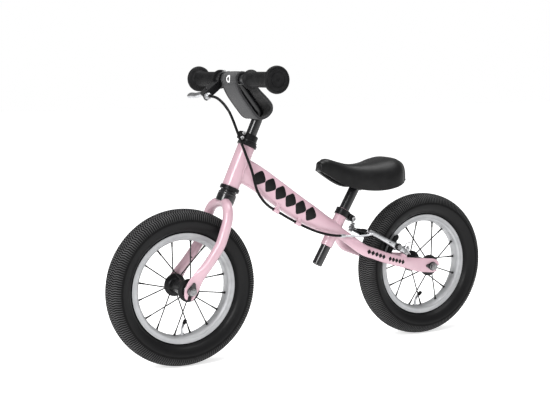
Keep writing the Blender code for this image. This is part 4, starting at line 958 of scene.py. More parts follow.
def build_guides(looks):
    """Two brazed-on guides under the main tube: a sleeve on a slim oval foot."""
    direction = Vector((math.cos(GUIDE_CLIMB), 0.0, math.sin(GUIDE_CLIMB)))
    upward = Vector((-math.sin(GUIDE_CLIMB), 0.0, math.cos(GUIDE_CLIMB)))
    for word, centre in (("front", FRONT_GUIDE), ("rear", REAR_GUIDE)):
        guide = Shape()
        sleeve = soften([(0.0031, -0.0065), (0.0049, -0.0065), (0.0049, -0.0045), (0.0045, -0.0038),
                         (0.0045, 0.0038), (0.0049, 0.0045), (0.0049, 0.0065), (0.0031, 0.0065)], 0.0005)
        guide.turn(sleeve, centre, direction, 48, closed=True)
        foot = [(*(centre + upward * 0.0038), 0.0026, 0.0048), (*(centre + upward * 0.0070), 0.0024, 0.0044),
                (*(centre + upward * 0.0150), 0.0030, 0.0056)]
        guide.loft(smooth_rows(foot, 0.0015), LEFT, 32)
        place(guide.object(f"{word}_cable_guide", looks["pink"]), "frame", "pink_paint")


def build_straight_tubes(looks):
    head = Shape().ring(0.0156, HEAD_TUBE_RADIUS, steer_point(0), steer_point(HEAD_TUBE_LENGTH), 96, 0.0006)
    place(head.object("head_tube_paint", looks["pink"]), "frame", "pink_paint", "head_tube")
    low, high = seat_point(0.045), seat_point(0.1335)
    seat = Shape().ring(POST_RADIUS + 0.0004, SEAT_TUBE_RADIUS, low, high, 72, 0.0005)
    place(seat.object("seat_tube_paint", looks["pink"]), "frame", "pink_paint", "seat_tube")


def axle_slot(hub, direction):
    half = AXLE_RADIUS + 0.0004
    outline = arc(0, 0, half, 90, 270, 24) + [(0.060, -half), (0.060, half)]
    return Shape().slab(outline, hub - LEFT * 0.08, 0.16, direction, LEFT.cross(direction)).object("cutter")


def stay_rows(way):
    """A stay's sections from the main tube's end out round the tyre to its flat dropout."""
    flat = DROPOUT_THICKNESS / 2
    rows = [(-0.0700, 0.0110, 0.2480, 0.0080, 0.0110), (-0.0840, 0.0145, 0.2370, 0.0085, 0.0115),
            (-0.0980, 0.0270, 0.2235, 0.0090, 0.0118), (-0.1170, 0.0390, 0.2080, 0.0092, 0.0118),
            (-0.1420, 0.0455, 0.1980, 0.0088, 0.0118), (-0.1750, 0.0465, 0.1860, 0.0085, 0.0118),
            (-0.2170, 0.0460, 0.1742, 0.0080, 0.0120), (-0.2440, 0.0450, 0.1676, 0.0046, 0.0140),
            (-0.2620, DROPOUT_Y, 0.1640, flat, 0.0152), (-0.2820, DROPOUT_Y, 0.1615, flat, 0.0156),
            (-0.2950, DROPOUT_Y, 0.1600, flat, 0.0155), (-0.3050, DROPOUT_Y, 0.1580, flat, 0.0143),
            (-0.3105, DROPOUT_Y, 0.1566, flat, 0.0112), (-0.3128, DROPOUT_Y, 0.1560, flat * 0.8, 0.0075),
            (-0.3136, DROPOUT_Y, 0.1558, flat * 0.4, 0.0035)]
    return smooth_rows([(x, way * y, z, wide, tall) for x, y, z, wide, tall in rows], 0.004)


def build_chainstays(looks):
    """The two stays, each with a slotted dropout, a weld at the seat tube and a brake boss."""
    for word, way in SIDES:
        rows = stay_rows(way)
        stay = Shape().loft(rows, LEFT, 40).object(f"{word}_stay", looks["pink"])
        carve(stay, seat_tube_cutter(), axle_slot(REAR_HUB, Vector((-1.0, 0.0, -0.35)).normalized()))
        place(stay, "frame", "pink_paint", f"{word}_chainstay")
        bead = Shape()
        weld_bead(bead, loft_loops(rows, LEFT, 32), POST_END, SEAT_AXIS, SEAT_TUBE_RADIUS, 0.0014)
        place(bead.object(f"{word}_stay_weld", looks["pink"]), "frame", "pink_paint")
        build_boss(word, way, looks)


def build_boss(word, way, looks):
    """The lug that the brake arm turns on, with its welded foot."""
    base = brake_point(PIVOT_RADIUS, way * (PIVOT_Y + 0.0015))
    outline = [(0.0098, -0.0200), (0.0090, -0.0180), (0.0082, -0.0165), (0.0080, -0.0100),
               (0.0077, BOSS_TOP - 0.0004), (0.0072, BOSS_TOP)]
    boss = Shape().turn(outline, base, BRAKE_AXIS, 48)
    place(boss.object(f"{word}_brake_boss", looks["pink"]), "frame", "pink_paint")


def build_fork_legs(looks):
    """Curved legs: from the middle under the crown, over the tyre, then raked forward to flat ends."""
    flat = DROPOUT_THICKNESS / 2
    radius = 0.0104
    for word, way in SIDES:
        rows = [(0.2012, 0.0004, 0.3262, radius, radius), (0.2025, 0.0120, 0.3256, radius, radius),
                (0.2050, 0.0240, 0.3224, radius, radius), (0.2085, 0.0345, 0.3160, radius, radius),
                (0.2112, 0.0415, 0.3065, radius, radius), (0.2140, 0.0450, 0.2940, radius, radius),
                (0.2185, 0.0460, 0.2800, radius, radius),
                (0.2300, 0.0460, 0.2480, radius, radius), (0.2455, 0.0460, 0.2250, radius, radius),
                (0.2610, 0.0460, 0.2055, radius, radius), (0.2700, 0.0456, 0.1950, 0.0085, 0.0112),
                (0.2800, 0.0447, 0.1830, 0.0040, 0.0130), (0.2875, DROPOUT_Y, 0.1720, flat, 0.0145),
                (0.2920, DROPOUT_Y, 0.1640, flat, 0.0146), (0.2955, DROPOUT_Y, 0.1575, flat, 0.0140),
                (0.2985, DROPOUT_Y, 0.1490, flat, 0.0122), (0.3002, DROPOUT_Y, 0.1440, flat, 0.0096),
                (0.3010, DROPOUT_Y, 0.1418, flat * 0.8, 0.0066),
                (0.3013, DROPOUT_Y, 0.1410, flat * 0.4, 0.0034)]
        rows = smooth_rows([(x, way * y, z, wide, tall) for x, y, z, wide, tall in rows], 0.004)
        leg = Shape().loft(rows, LEFT, 40).object(f"{word}_leg", looks["pink"])
        carve(leg, cutting_rod(steer_point(CROWN_BOTTOM + 0.0006), steer_point(0.0), CROWN_RADIUS - 0.0006),
              axle_slot(FRONT_HUB, Vector((0.25, 0.0, -0.97)).normalized()))
        place(leg, "steering", "pink_paint", f"{word}_fork_leg")
    # A dark disc on the leg's inner side: painted shade standing for the inside of a vent hole, which is not
    # cut.
    vent = Vector((0.2560, -0.0358, 0.2120))
    vent_shade_spot = Shape().rod(vent - LEFT * 0.0015, vent + LEFT * 0.0004, 0.0019, 24)
    place(vent_shade_spot.object("right_leg_vent_shade_spot", looks["ink"]), "steering", "pink_paint")


# ---------------------------------------------------------------- headset, crown and clamps

def build_headset(looks):
    """Cups pressed into the head tube, their polished bearing rings, and the crown below."""
    lower = [(0.0154, 0.0020), (0.0154, -0.0003), (0.0202, -0.0003), (0.0207, -0.0010), (0.0207, -0.0036),
             (0.0200, -0.0040), (0.0200, -0.0046), (0.0207, -0.0050), (0.0206, -0.0078), (0.0192, -0.0086),
             (0.0184, -0.0086), (0.0184, -0.0022), (0.0146, -0.0022), (0.0146, 0.0020)]
    cup = Shape().turn(soften(lower, 0.0003, 2), steer_point(0), STEER_AXIS, 96, closed=True)
    place(cup.object("lower_cup", looks["alloy"]), "frame", "black_alloy", "lower_headset_cup")
    upper = [(0.0146, -0.0020), (0.0146, 0.0022), (0.0184, 0.0022), (0.0184, 0.0076), (0.0196, 0.0076),
             (0.0207, 0.0066), (0.0207, 0.0044), (0.0201, 0.0040), (0.0201, 0.0034), (0.0207, 0.0030),
             (0.0207, 0.0009), (0.0202, 0.0003), (0.0154, 0.0003), (0.0154, -0.0020)]
    upper = soften(upper[::-1], 0.0003, 2)
    cup = Shape().turn(upper, steer_point(HEAD_TUBE_LENGTH), STEER_AXIS, 96, closed=True)
    place(cup.object("upper_cup", looks["alloy"]), "frame", "black_alloy", "upper_headset_cup")
    rings = Shape().ring(0.0132, 0.0178, steer_point(-0.0078), steer_point(-0.0026), 64)
    place(rings.object("lower_bearing_ring", looks["steel"]), "frame", "bright_steel", "lower_bearing")
    top = HEAD_TUBE_LENGTH
    rings = Shape().ring(0.0132, 0.0178, steer_point(top + 0.0026), steer_point(top + 0.0070), 64)
    place(rings.object("upper_bearing_ring", looks["steel"]), "frame", "bright_steel", "upper_bearing")
    crown = [(0.0155, -0.0348), (0.0188, -0.0345), (0.0194, -0.0338), (0.0194, -0.0190), (0.0188, -0.0186),
             (0.0188, -0.0178), (0.0194, -0.0174), (0.0194, -0.0150), (0.0182, -0.0138), (0.0168, -0.0136),
             (0.0168, -0.0092), (0.0127, -0.0088), (0.0127, 0.1045), (0.0124, 0.1050), (0.0115, 0.1050),
             (0.0115, -0.0340)]
    made = Shape().turn(soften(crown, 0.0003, 2), steer_point(0), STEER_AXIS, 96, closed=True)
    place(made.object("crown_and_steerer", looks["paint"]), "steering", "black_metal", "fork_crown")


def bolt_head(shape, place_at, axis, head, socket, tall, segments=48):
    """A cap head with a hexagon socket, standing up along axis."""
    outline = [(head, 0.0), (head, tall - 0.0004), (head - 0.0004, tall), (socket + 0.0004, tall),
               (socket, tall - 0.0003), (socket, tall * 0.35)]
    shape.turn(outline, place_at, axis, segments, hexagon=(0.0, socket))


def hex_end(shape, start, axis, radius, side, top):
    """A bolt's hexagon head or nut; top is the (radius, height) of its flat end."""
    shape.turn([(radius, 0.0), (radius, side), top], start, axis, 48, hexagon=(0.0, radius))


def build_collar(looks):
    """The steering clamp: a split ring with ears ahead, and two bolts one above the other."""
    low = HEAD_TUBE_LENGTH + 0.0080
    outline = [(0.0130, 0.0), (0.0181, 0.0), (0.0185, 0.0005), (0.0185, 0.0038), (0.0181, 0.0043),
               (0.0168, 0.0047), (0.0165, 0.0052), (0.0165, 0.0155), (0.0161, 0.0164), (0.0152, 0.0175),
               (0.0130, 0.0175)]
    band = Shape().turn(outline, steer_point(low), STEER_AXIS, 96, closed=True)
    centre = steer_point(low + 0.0090)
    eared = Shape()
    for way in (1, -1):
        start = centre + LEFT * (0.0065 if way > 0 else -0.0010)
        ear = soften([(0.0150, -0.0085), (0.0252, -0.0085), (0.0252, 0.0085), (0.0150, 0.0085)], 0.0035, 6)
        eared.slab(ear, start, 0.0055, STEER_AHEAD, STEER_AXIS)
    slit = Shape().slab([(0.0110, -0.0120), (0.0300, -0.0120), (0.0300, 0.0120), (0.0110, 0.0120)],
                        centre + LEFT * 0.0010, 0.0020, STEER_AHEAD, STEER_AXIS).object("cutter")
    collar = carve(band.object("collar_band", looks["alloy"]), slit)
    place(collar, "steering", "black_alloy", "steering_collar")
    place(eared.object("collar_ear_plates", looks["alloy"], bevel=0.0006), "steering", "black_alloy")
    bolts = Shape()
    for height in (0.0037, 0.0143):
        middle = steer_point(low + height, 0.0207)
        bolts.rod(middle - LEFT * 0.0095, middle + LEFT * 0.0070, 0.0021)
        bolt_head(bolts, middle + LEFT * 0.0066, LEFT, 0.0038, 0.0019, 0.0040)
        hex_end(bolts, middle - LEFT * 0.0066, -LEFT, 0.0036, 0.0022, (0.0030, 0.0026))
    place(bolts.object("collar_bolts", looks["steel"]), "steering", "bright_steel", "collar_bolt")


def build_seat_clamp(looks):
    """A split collar on the seat tube, its ears and socket bolt at the back."""
    low, high = seat_point(0.1180), seat_point(0.1325)
    tall = (high - low).length
    band = [(0.0133, 0.0), (0.0156, 0.0), (0.0160, 0.0005), (0.0160, 0.0040), (0.0157, 0.0044),
            (0.0157, tall - 0.0044), (0.0160, tall - 0.0040), (0.0160, tall - 0.0005), (0.0156, tall),
            (0.0133, tall)]
    collar = Shape().turn(band, low, SEAT_AXIS, 96, closed=True).object("seat_clamp_band", looks["alloy"])
    slit = Shape().slab([(0.012, -0.002), (0.040, -0.002), (0.040, 0.0165), (0.012, 0.0165)],
                        low - LEFT * 0.0010, 0.0020, SEAT_BACK, SEAT_AXIS).object("cutter")
    place(carve(collar, slit), "frame", "black_alloy", "seat_clamp")
    ears = Shape()
    for start in (-0.0085, 0.0010):
        outline = [(0.0148, 0.0), (0.0258, 0.0)] + arc(0.0258, tall / 2, tall / 2, -80, 80, 18)
        outline += [(0.0258, tall), (0.0148, tall)]
        ears.slab(outline, low + LEFT * start, 0.0075, SEAT_BACK, SEAT_AXIS)
    place(ears.object("seat_clamp_lugs", looks["alloy"], bevel=0.0008), "frame", "black_alloy")
    middle = seat_point(0.12525, 0.0262)
    bolt = Shape().rod(middle - LEFT * 0.0128, middle + LEFT * 0.0090, 0.0023)
    bolt_head(bolt, middle + LEFT * 0.0087, LEFT, 0.0045, 0.0024, 0.0048)
    hex_end(bolt, middle - LEFT * 0.0087, -LEFT, 0.0044, 0.0030, (0.0036, 0.0036))
    place(bolt.object("seat_clamp_screw", looks["steel"]), "frame", "bright_steel", "seat_clamp_bolt")


# ---------------------------------------------------------------- stem, bar, grips and pad

def stem_rows(radius, step):
    """Straight up out of the steerer, then bent forward to the bar."""
    route = [steer_point(0.0350), steer_point(0.0750), steer_point(0.1100), steer_point(0.1400),
             steer_point(0.1500), Vector((0.1197, 0.0, 0.5000)), Vector((0.1220, 0.0, 0.5078)),
             Vector((0.1285, 0.0, 0.5165)), Vector((0.1390, 0.0, 0.5300)), Vector((0.1555, 0.0, 0.5515)),
             BAR_CENTRE - Vector((0.0010, 0.0, 0.0015))]
    return smooth_rows([(*point, radius, radius) for point in route], step)


def build_stem(looks):
    rows = stem_rows(STEM_RADIUS, 0.004)
    stem = Shape().loft(rows[:-1], LEFT, 56)
    place(stem.object("stem_tube", looks["paint"]), "bars", "black_metal", "stem")
    bead = Shape()
    weld_bead(bead, loft_loops(rows[::-1], LEFT, 40), BAR_CENTRE, LEFT, BAR_RADIUS, 0.0014)
    place(bead.object("bar_weld", looks["paint"]), "bars", "black_metal")
    bar = Shape().ring(BAR_RADIUS - 0.0016, BAR_RADIUS, BAR_CENTRE - LEFT * BAR_HALF_LENGTH,
                       BAR_CENTRE + LEFT * BAR_HALF_LENGTH, 72)
    place(bar.object("bar_tube", looks["paint"]), "bars", "black_metal", "handlebar")


def grip_outline():
    """From the inner flange over the ribs to the wide end disc with its rings, as (radius, length)."""
    outline = [(0.0114, 0.0), (0.0170, 0.0), (0.0190, 0.0006), (0.0195, 0.0016), (0.0195, 0.0034),
               (0.0186, 0.0044), (0.0164, 0.0056), (0.0152, 0.0072)]
    ribs, first, last = 18, 0.0085, 0.0960
    pitch = (last - first) / ribs
    for index in range(ribs):
        start = first + index * pitch
        outline += [(0.0144, start), (0.0152, start + pitch * 0.22), (0.0153, start + pitch * 0.50),
                    (0.0152, start + pitch * 0.78)]
    outline += [(0.0146, last), (0.0156, last + 0.0020), (0.0200, last + 0.0038), (0.0245, last + 0.0050),
                (0.0264, last + 0.0068), (0.0268, last + 0.0090), (0.0266, last + 0.0112),
                (0.0256, last + 0.0130), (0.0240, last + 0.0139), (0.0222, last + 0.0141),
                (0.0216, last + 0.0133), (0.0210, last + 0.0141), (0.0196, last + 0.0145),
                (0.0148, last + 0.0146), (0.0143, last + 0.0138), (0.0138, last + 0.0146),
                (0.0034, last + 0.0142), (0.0028, last + 0.0130), (0.0012, last + 0.0128)]
    return outline


def build_grips(looks):
    outline = grip_outline()
    for word, way in SIDES:
        start = BAR_CENTRE + LEFT * way * GRIP_INNER_Y
        grip = Shape().turn(outline, start, LEFT * way, 96)
        grip = grip.object(f"{word}_grip_sleeve", looks["rubber"], sharp=50)
        place(grip, "bars", "black_rubber", f"{word}_grip")


def pad_line():
    """The wrap's mid-line seen from the side: round the bar, down to the stem and back up."""
    over_bar = arc(BAR_CENTRE.x, BAR_CENTRE.z, BAR_RADIUS + 0.0007 + PAD_THICKNESS / 2, -30, 150, 10)
    down_back = [(0.1360, 0.5527), (0.1186, 0.5362), (0.1082, 0.5250), (0.1055, 0.5180), (0.1062, 0.5095)]
    under = [(0.1140, 0.5005), (0.1245, 0.4955), (0.1332, 0.4955)]
    up_front = [(0.1420, 0.5017), (0.1555, 0.5180), (0.1725, 0.5405), (0.1826, 0.5595)]
    rows = [(x, 0.0, z) for x, z in over_bar + down_back + under + up_front]
    return [Vector(tuple(row)) for row in smooth_rows(rows, 0.0022, closed=True)]


def pad_shell(line, half_width, low, high, crown=0.0, columns=24):
    """A closed band along the wrap's line, from low to high about it and crowned outwards."""
    loops = []
    for index, point in enumerate(line):
        along = direction_at(line, index, closed=True)
        outward = Vector((along.z, 0.0, -along.x))
        outer, inner = [], []
        for column in range(columns + 1):
            share = 2 * column / columns - 1
            edge = (1 - abs(share) ** 10)
            lift = low + (high - low) * (0.55 + 0.45 * edge) + crown * (1 - share * share)
            outer.append(point + LEFT * half_width * share + outward * lift)
            inner.append(point + LEFT * half_width * share + outward * low)
        loops.append(outer + inner[::-1])
    return Shape().skin(loops, closed=True)


def stem_cutter(grow):
    return Shape().loft(stem_rows(STEM_RADIUS + grow, 0.006)[:-10], LEFT, 40).object("cutter")


BINDING_SIDES = 16
BINDING_HALF_WIDTH = 0.0021
BINDING_HALF_HEIGHT = 0.0025
MARK_OUTER_RADIUS = 0.0080
MARK_INNER_RADIUS = 0.0048
MARK_STEPS = 64


def build_pad(looks):
    """The padded wrap: a woven outside, a near-black inner face that is painted shade for the inside of the
    wrap, bound and stitched edges, and a round mark.
    """
    line = pad_line()
    outside = pad_shell(line, PAD_HALF_WIDTH - 0.0006, -0.0010, 0.0019, 0.0007)
    outside = outside.object("pad_outside", looks["fabric"])
    # The inner face is darker than the outside: painted shade for the inside of the wrap, on the same fabric.
    inner_shade = pad_shell(line, PAD_HALF_WIDTH - 0.0008, -0.0020, -0.0011)
    inner_shade = inner_shade.object("pad_painted_shade_inner", looks["inner_shade"])
    place(carve(outside, stem_cutter(0.0010)), "bars", "grey_fabric", "safety_pad")
    place(carve(inner_shade, stem_cutter(0.0012)), "bars", "grey_fabric")
    bindings = Shape()
    stitches = Shape()
    for way in (1, -1):
        edge = []
        for index, point in enumerate(line):
            along = direction_at(line, index, closed=True)
            outward = Vector((along.z, 0.0, -along.x))
            centre = point + LEFT * way * (PAD_HALF_WIDTH - 0.0016) + outward * 0.0001
            loop = []
            for corner in range(BINDING_SIDES):
                angle = 2 * math.pi * corner / BINDING_SIDES
                width = squared(math.cos(angle), 0.7) * BINDING_HALF_WIDTH
                height = squared(math.sin(angle), 0.7) * BINDING_HALF_HEIGHT
                loop.append(centre + LEFT * width + outward * height)
            edge.append(loop)
            if index % 2 == 0:
                seam = point + LEFT * way * (PAD_HALF_WIDTH - 0.0052) + outward * 0.0026
                stitches.rod(seam - along * 0.0009, seam + along * 0.0009, 0.00028, 6, 0.0001)
        bindings.skin(edge, closed=True)
    place(bindings.object("pad_binding", looks["binding"]), "bars", "grey_fabric")
    place(stitches.object("pad_stitches", looks["binding"]), "bars", "grey_fabric")
    build_pad_mark(looks)


def build_pad_mark(looks):
    """A plain light ring on the wrap, just below the bar."""
    turn = math.radians(4)
    reach = BAR_RADIUS + 0.0007 + PAD_THICKNESS + 0.0007
    outer, inner = MARK_OUTER_RADIUS, MARK_INNER_RADIUS
    loops = []
    for index in range(MARK_STEPS):
        angle = 2 * math.pi * index / MARK_STEPS
        loop = []
        for size, lift in ((outer, -0.0005), (outer, 0.0001), (inner, 0.0001), (inner, -0.0005)):
            bent = turn + size * math.sin(angle) / reach
            direction = Vector((math.cos(bent), 0.0, math.sin(bent)))
            loop.append(BAR_CENTRE + direction * (reach + lift) + LEFT * size * math.cos(angle))
        loops.append(loop)
    mark = Shape().skin(loops, closed=True).object("pad_ring_mark", looks["white"])
    place(mark, "bars", "grey_fabric")


# ---------------------------------------------------------------- brake lever

def build_perch(looks):
    """The lever's mount: a clamp band on the bar and a body that reaches forward to the pivot."""
    low, high = BAR_CENTRE + LEFT * -0.0612, BAR_CENTRE + LEFT * -0.0468
    band = Shape().ring(BAR_RADIUS + 0.0002, 0.0150, low, high, 96, 0.0014)
    place(band.object("perch_band", looks["alloy"]), "bars", "black_alloy", "lever_perch")
    outline = [(0.0125, -0.0620), (0.0300, -0.0680), (0.0480, -0.0720), (0.0550, -0.0670), (0.0590, -0.0560),
               (0.0610, -0.0440), (0.0280, -0.0440), (0.0125, -0.0460)]
    outline = soften(outline, 0.0050, 6)
    body = Shape().slab(outline, BAR_CENTRE + LEVER_AXIS * 0.0080, 0.0160, LEVER_FORWARD, LEFT)
    body = body.object("perch_arm", looks["alloy"])
    mouth = Shape().slab([(0.0330, -0.0490), (0.0640, -0.0490), (0.0640, -0.0800), (0.0330, -0.0800)],
                         BAR_CENTRE + LEVER_AXIS * 0.0036, 0.0072, LEVER_FORWARD, LEFT).object("cutter")
    carve(body, mouth)
    add_bevel(body, 0.0013)
    place(body, "bars", "black_alloy")
    screw = Shape()
    screw_at = lever_point(-0.0105, -0.0540, -0.0105)
    screw.turn([(0.0042, 0.0), (0.0042, 0.0020), (0.0034, 0.0026), (0.0018, 0.0026), (0.0018, 0.0012)],
               screw_at, -LEVER_AXIS, 48, hexagon=(0.0, 0.0018))
    place(screw.object("perch_screw", looks["steel"]), "bars", "bright_steel")


def build_lever(looks):
    build_perch(looks)
    barrel = [(0.0030, -0.0030), (0.0030, 0.0), (0.0066, 0.0), (0.0070, 0.0004), (0.0070, 0.0014),
              (0.0062, 0.0018), (0.0072, 0.0022), (0.0072, 0.0066), (0.0066, 0.0074),
              (0.0052, 0.0078), (0.0046, 0.0086),
              (0.0046, 0.0112), (0.0040, 0.0118), (0.0026, 0.0118), (0.0026, 0.0070)]
    made = Shape().turn(barrel, lever_point(BARREL_REACH, -0.0436), LEFT, 120, ripple=(20, 0.0007, 0.0066))
    place(made.object("barrel_knob", looks["silver"]), "bars", "silver_alloy", "barrel_adjuster")
    pivot = lever_point(*LEVER_PIVOT)
    pin = Shape().rod(pivot - LEVER_AXIS * 0.0088, pivot + LEVER_AXIS * 0.0088, 0.0021)
    bolt_head(pin, pivot + LEVER_AXIS * 0.0076, LEVER_AXIS, 0.0042, 0.0020, 0.0022)
    bolt_head(pin, pivot - LEVER_AXIS * 0.0076, -LEVER_AXIS, 0.0038, 0.0018, 0.0020)
    place(pin.object("lever_pivot", looks["paint"]), "bars", "bright_steel", "lever_pin")
    points = [(0.0430, -0.0530, 0.0056, 0.0028), (0.0430, -0.0620, 0.0064, 0.0028),
              (0.0460, -0.0740, 0.0069, 0.0038), (0.0515, -0.0880, 0.0067, 0.0044),
              (0.0540, -0.1020, 0.0063, 0.0044), (0.0535, -0.1150, 0.0061, 0.0044),
              (0.0543, -0.1240, 0.0066, 0.0047), (0.0552, -0.1285, 0.0058, 0.0042),
              (0.0558, -0.1305, 0.0040, 0.0028), (0.0560, -0.1312, 0.0018, 0.0012)]
    rows = [(*lever_point(reach, left), half, thick) for reach, left, half, thick in points]
    blade = Shape().loft(smooth_rows(rows, 0.002), LEVER_FORWARD, 48, 0.72)
    place(blade.object("lever_blade", looks["silver"]), "lever", "silver_alloy", "brake_lever")


# ---------------------------------------------------------------- rear brake

def build_arm(word, way, looks):
    """A forged arm with a raised back rib, its barrel on the pivot, and a washer under the bolt's head."""
    body = word + "_arm"
    y = PIVOT_Y
    rows = [(PIVOT_RADIUS - 0.0064, y, 0.0056, 0.0058), (PIVOT_RADIUS, y, 0.0064, 0.0066),
            (PIVOT_RADIUS + 0.0080, y, 0.0060, 0.0068),
            (0.0960, y + 0.0005, 0.0052, 0.0068), (0.1160, y + 0.0010, 0.0050, 0.0066),
            (0.1320, y + 0.0015, 0.0042, 0.0056), (0.1600, y + 0.0010, 0.0034, 0.0048),
            (0.1750, y, 0.0034, 0.0050), (TIP_RADIUS + 0.0020, y, 0.0034, 0.0047),
            (TIP_RADIUS + 0.0040, y, 0.0026, 0.0034), (TIP_RADIUS + 0.0046, y, 0.0012, 0.0016)]
    rows = [(*brake_point(radius, way * left), wide, tall) for radius, left, wide, tall in rows]
    arm = Shape().loft(smooth_rows(rows, 0.0025), LEFT, 40, 0.62)
    arm = arm.object(f"{word}_arm_casting", looks["silver"])
    opening = ((0.0985, 0.0016), (0.1000, 0.0034), (0.1110, 0.0034), (0.1125, 0.0016))
    opening = [(*brake_point(radius, way * (y + 0.0010)), 0.02, tall) for radius, tall in opening]
    window = Shape().loft(opening, LEFT, 24, 0.6)
    groove = Shape().slab(soften([(0.1180, -0.0016), (0.1700, -0.0013), (0.1700, 0.0013), (0.1180, 0.0016)],
                                 0.0010, 5),
                          brake_point(0.0, way * (y + 0.0046) + 0.0012), 0.0024, BRAKE_OUT, BRAKE_AXIS)
    carve(arm, window.object("cutter"), groove.object("cutter"))
    add_bevel(arm, 0.0004)
    place(arm, body, "silver_alloy", f"{word}_brake_arm")
    pivot = brake_point(PIVOT_RADIUS, way * y)
    barrel = soften([(0.0046, -0.0058), (0.0078, -0.0058), (0.0078, -0.0040), (0.0074, -0.0036),
                     (0.0074, 0.0050), (0.0078, 0.0054), (0.0078, 0.0082), (0.0046, 0.0082)], 0.0005, 2)
    made = Shape().turn(barrel, pivot, BRAKE_AXIS, 64, closed=True)
    place(made.object(f"{word}_arm_sleeve", looks["silver"]), body, "silver_alloy")
    bolt = Shape().rod(pivot - BRAKE_AXIS * 0.0140, pivot + BRAKE_AXIS * 0.0090, 0.0038)
    bolt.turn([(0.0078, 0.0085), (0.0078, 0.0094), (0.0072, 0.0098), (0.0060, 0.0098)], pivot, BRAKE_AXIS, 48)
    bolt_head(bolt, pivot + BRAKE_AXIS * 0.0096, BRAKE_AXIS, 0.0052, 0.0026, 0.0044)
    place(bolt.object(f"{word}_pivot_screw", looks["steel"]), "frame", "bright_steel", f"{word}_pivot_bolt")
    screw = Shape()
    screw_at = brake_point(PIVOT_RADIUS - 0.0010, way * (y + 0.0070), -0.0015)
    bolt_head(screw, screw_at, LEFT * way, 0.0022, 0.0010, 0.0022, 24)
    place(screw.object(f"{word}_tension_screw", looks["paint"]), body, "bright_steel")


BRAKING_FACE_Y = 0.0145
PAD_GAP = 0.0018


def build_pad_holder(word, way, looks):
    """The rubber block with its grooves, and the stud, washers and nut that hold it in the arm."""
    body = word + "_arm"
    face = BRAKING_FACE_Y + PAD_GAP
    rows = []
    steps = 28
    for index in range(steps + 1):
        share = 2 * index / steps - 1
        end = (1 - abs(share) ** 14) * 0.55 + 0.45
        groove = 0.86 if index % 5 == 2 else 1.0
        point = brake_point(PAD_RADIUS - 0.0038 * share * share, way * (face + 0.0052), share * 0.0265)
        rows.append((*point, 0.0052 * groove * end, 0.0050 * end * groove))
    block = Shape().loft(rows, LEFT, 32, 0.55)
    block = block.object(f"{word}_pad_block", looks["rubber"], sharp=50)
    place(block, body, "black_rubber", f"{word}_brake_pad")

    def at(y):
        return brake_point(PAD_RADIUS, way * y)

    holder = Shape().rod(at(face + 0.0085), at(0.0330), 0.0062, 48, 0.0008)
    holder.rod(at(0.0330), at(0.0352), 0.0088, 48, 0.0006)
    holder.rod(at(0.0466), at(0.0484), 0.0084, 48, 0.0005)
    place(holder.object(f"{word}_pad_washers", looks["alloy"]), body, "black_alloy")
    stud = Shape().rod(at(face + 0.0080), at(0.0534), 0.0029)
    nut = [(0.0056, 0.0), (0.0060, 0.0004), (0.0060, 0.0030), (0.0052, 0.0036)]
    stud.turn(nut, at(0.0484), LEFT * way, 72, hexagon=(0.0, 0.0060))
    place(stud.object(f"{word}_pad_stud_nut", looks["dull"]), body, "bright_steel")


def build_spring(word, way, looks):
    """A coil at the pivot, a long leg up the back of the arm, and a hook that curls over."""
    pivot = brake_point(PIVOT_RADIUS, way * PIVOT_Y)
    turns, per_turn = 2.5, 28
    line = []
    for index in range(int(turns * per_turn) + 1):
        angle = 2 * math.pi * index / per_turn + math.pi
        along = BRAKE_OUT * math.cos(angle) + LEFT * math.sin(angle)
        line.append(pivot + along * 0.0088 + BRAKE_AXIS * (-0.0052 + 0.0021 * index / per_turn))
    coil = Shape().tube(line, 0.0009, 10)
    hook = [brake_point(0.0720, way * 0.0515, -0.0020), brake_point(0.0860, way * 0.0525, 0.0040),
            brake_point(0.0950, way * 0.0535, 0.0100), brake_point(0.0935, way * 0.0540, 0.0165),
            brake_point(0.0870, way * 0.0545, 0.0200), brake_point(0.0780, way * 0.0545, 0.0200),
            brake_point(0.0700, way * 0.0542, 0.0160), brake_point(0.0690, way * 0.0540, 0.0140)]
    coil.tube(smooth_rows(hook, 0.0012), 0.0010, 12)
    coil = coil.object(f"{word}_return_spring", looks["steel"])
    place(coil, word + "_arm", "bright_steel", f"{word}_spring")


def build_brake(looks):
    for word, way in SIDES:
        build_arm(word, way, looks)
        build_pad_holder(word, way, looks)
        build_spring(word, way, looks)


# ---------------------------------------------------------------- brake cable

# The route: bars to head tube, head tube to the first guide, along the frame, then the noodle
HOUSING_TOP = [
    tuple(lever_point(BARREL_REACH, BARREL_MOUTH_Y - 0.0050)), tuple(lever_point(BARREL_REACH, -0.0280)),
    (0.2055, -0.0170, 0.5360), (0.1970, -0.0050, 0.5250), (0.1905, 0.0070, 0.5100)]
HOUSING_MIDDLE = [
    (0.1901, 0.0078, 0.5088), (0.1860, 0.0170, 0.4910), (0.1750, 0.0255, 0.4540), (0.1630, 0.0280, 0.4220),
    (0.1500, 0.0280, 0.3900), (0.1375, 0.0265, 0.3500), (0.1210, 0.0215, 0.3275), (0.1030, 0.0155, 0.3130),
    (0.0925, 0.0124, 0.3072)]
HOUSING_REAR = [
    (0.0919, 0.0123, 0.3068), (FRONT_GUIDE.x, GUIDE_Y, FRONT_GUIDE.z), (0.0600, GUIDE_Y, 0.2882),
    (REAR_GUIDE.x, GUIDE_Y, REAR_GUIDE.z), (0.0240, 0.0122, 0.2687), (0.0000, 0.0175, 0.2572),
    (-0.0240, 0.0215, 0.2485), (-0.0480, 0.0255, 0.2430), (-0.0700, 0.0300, 0.2410)]
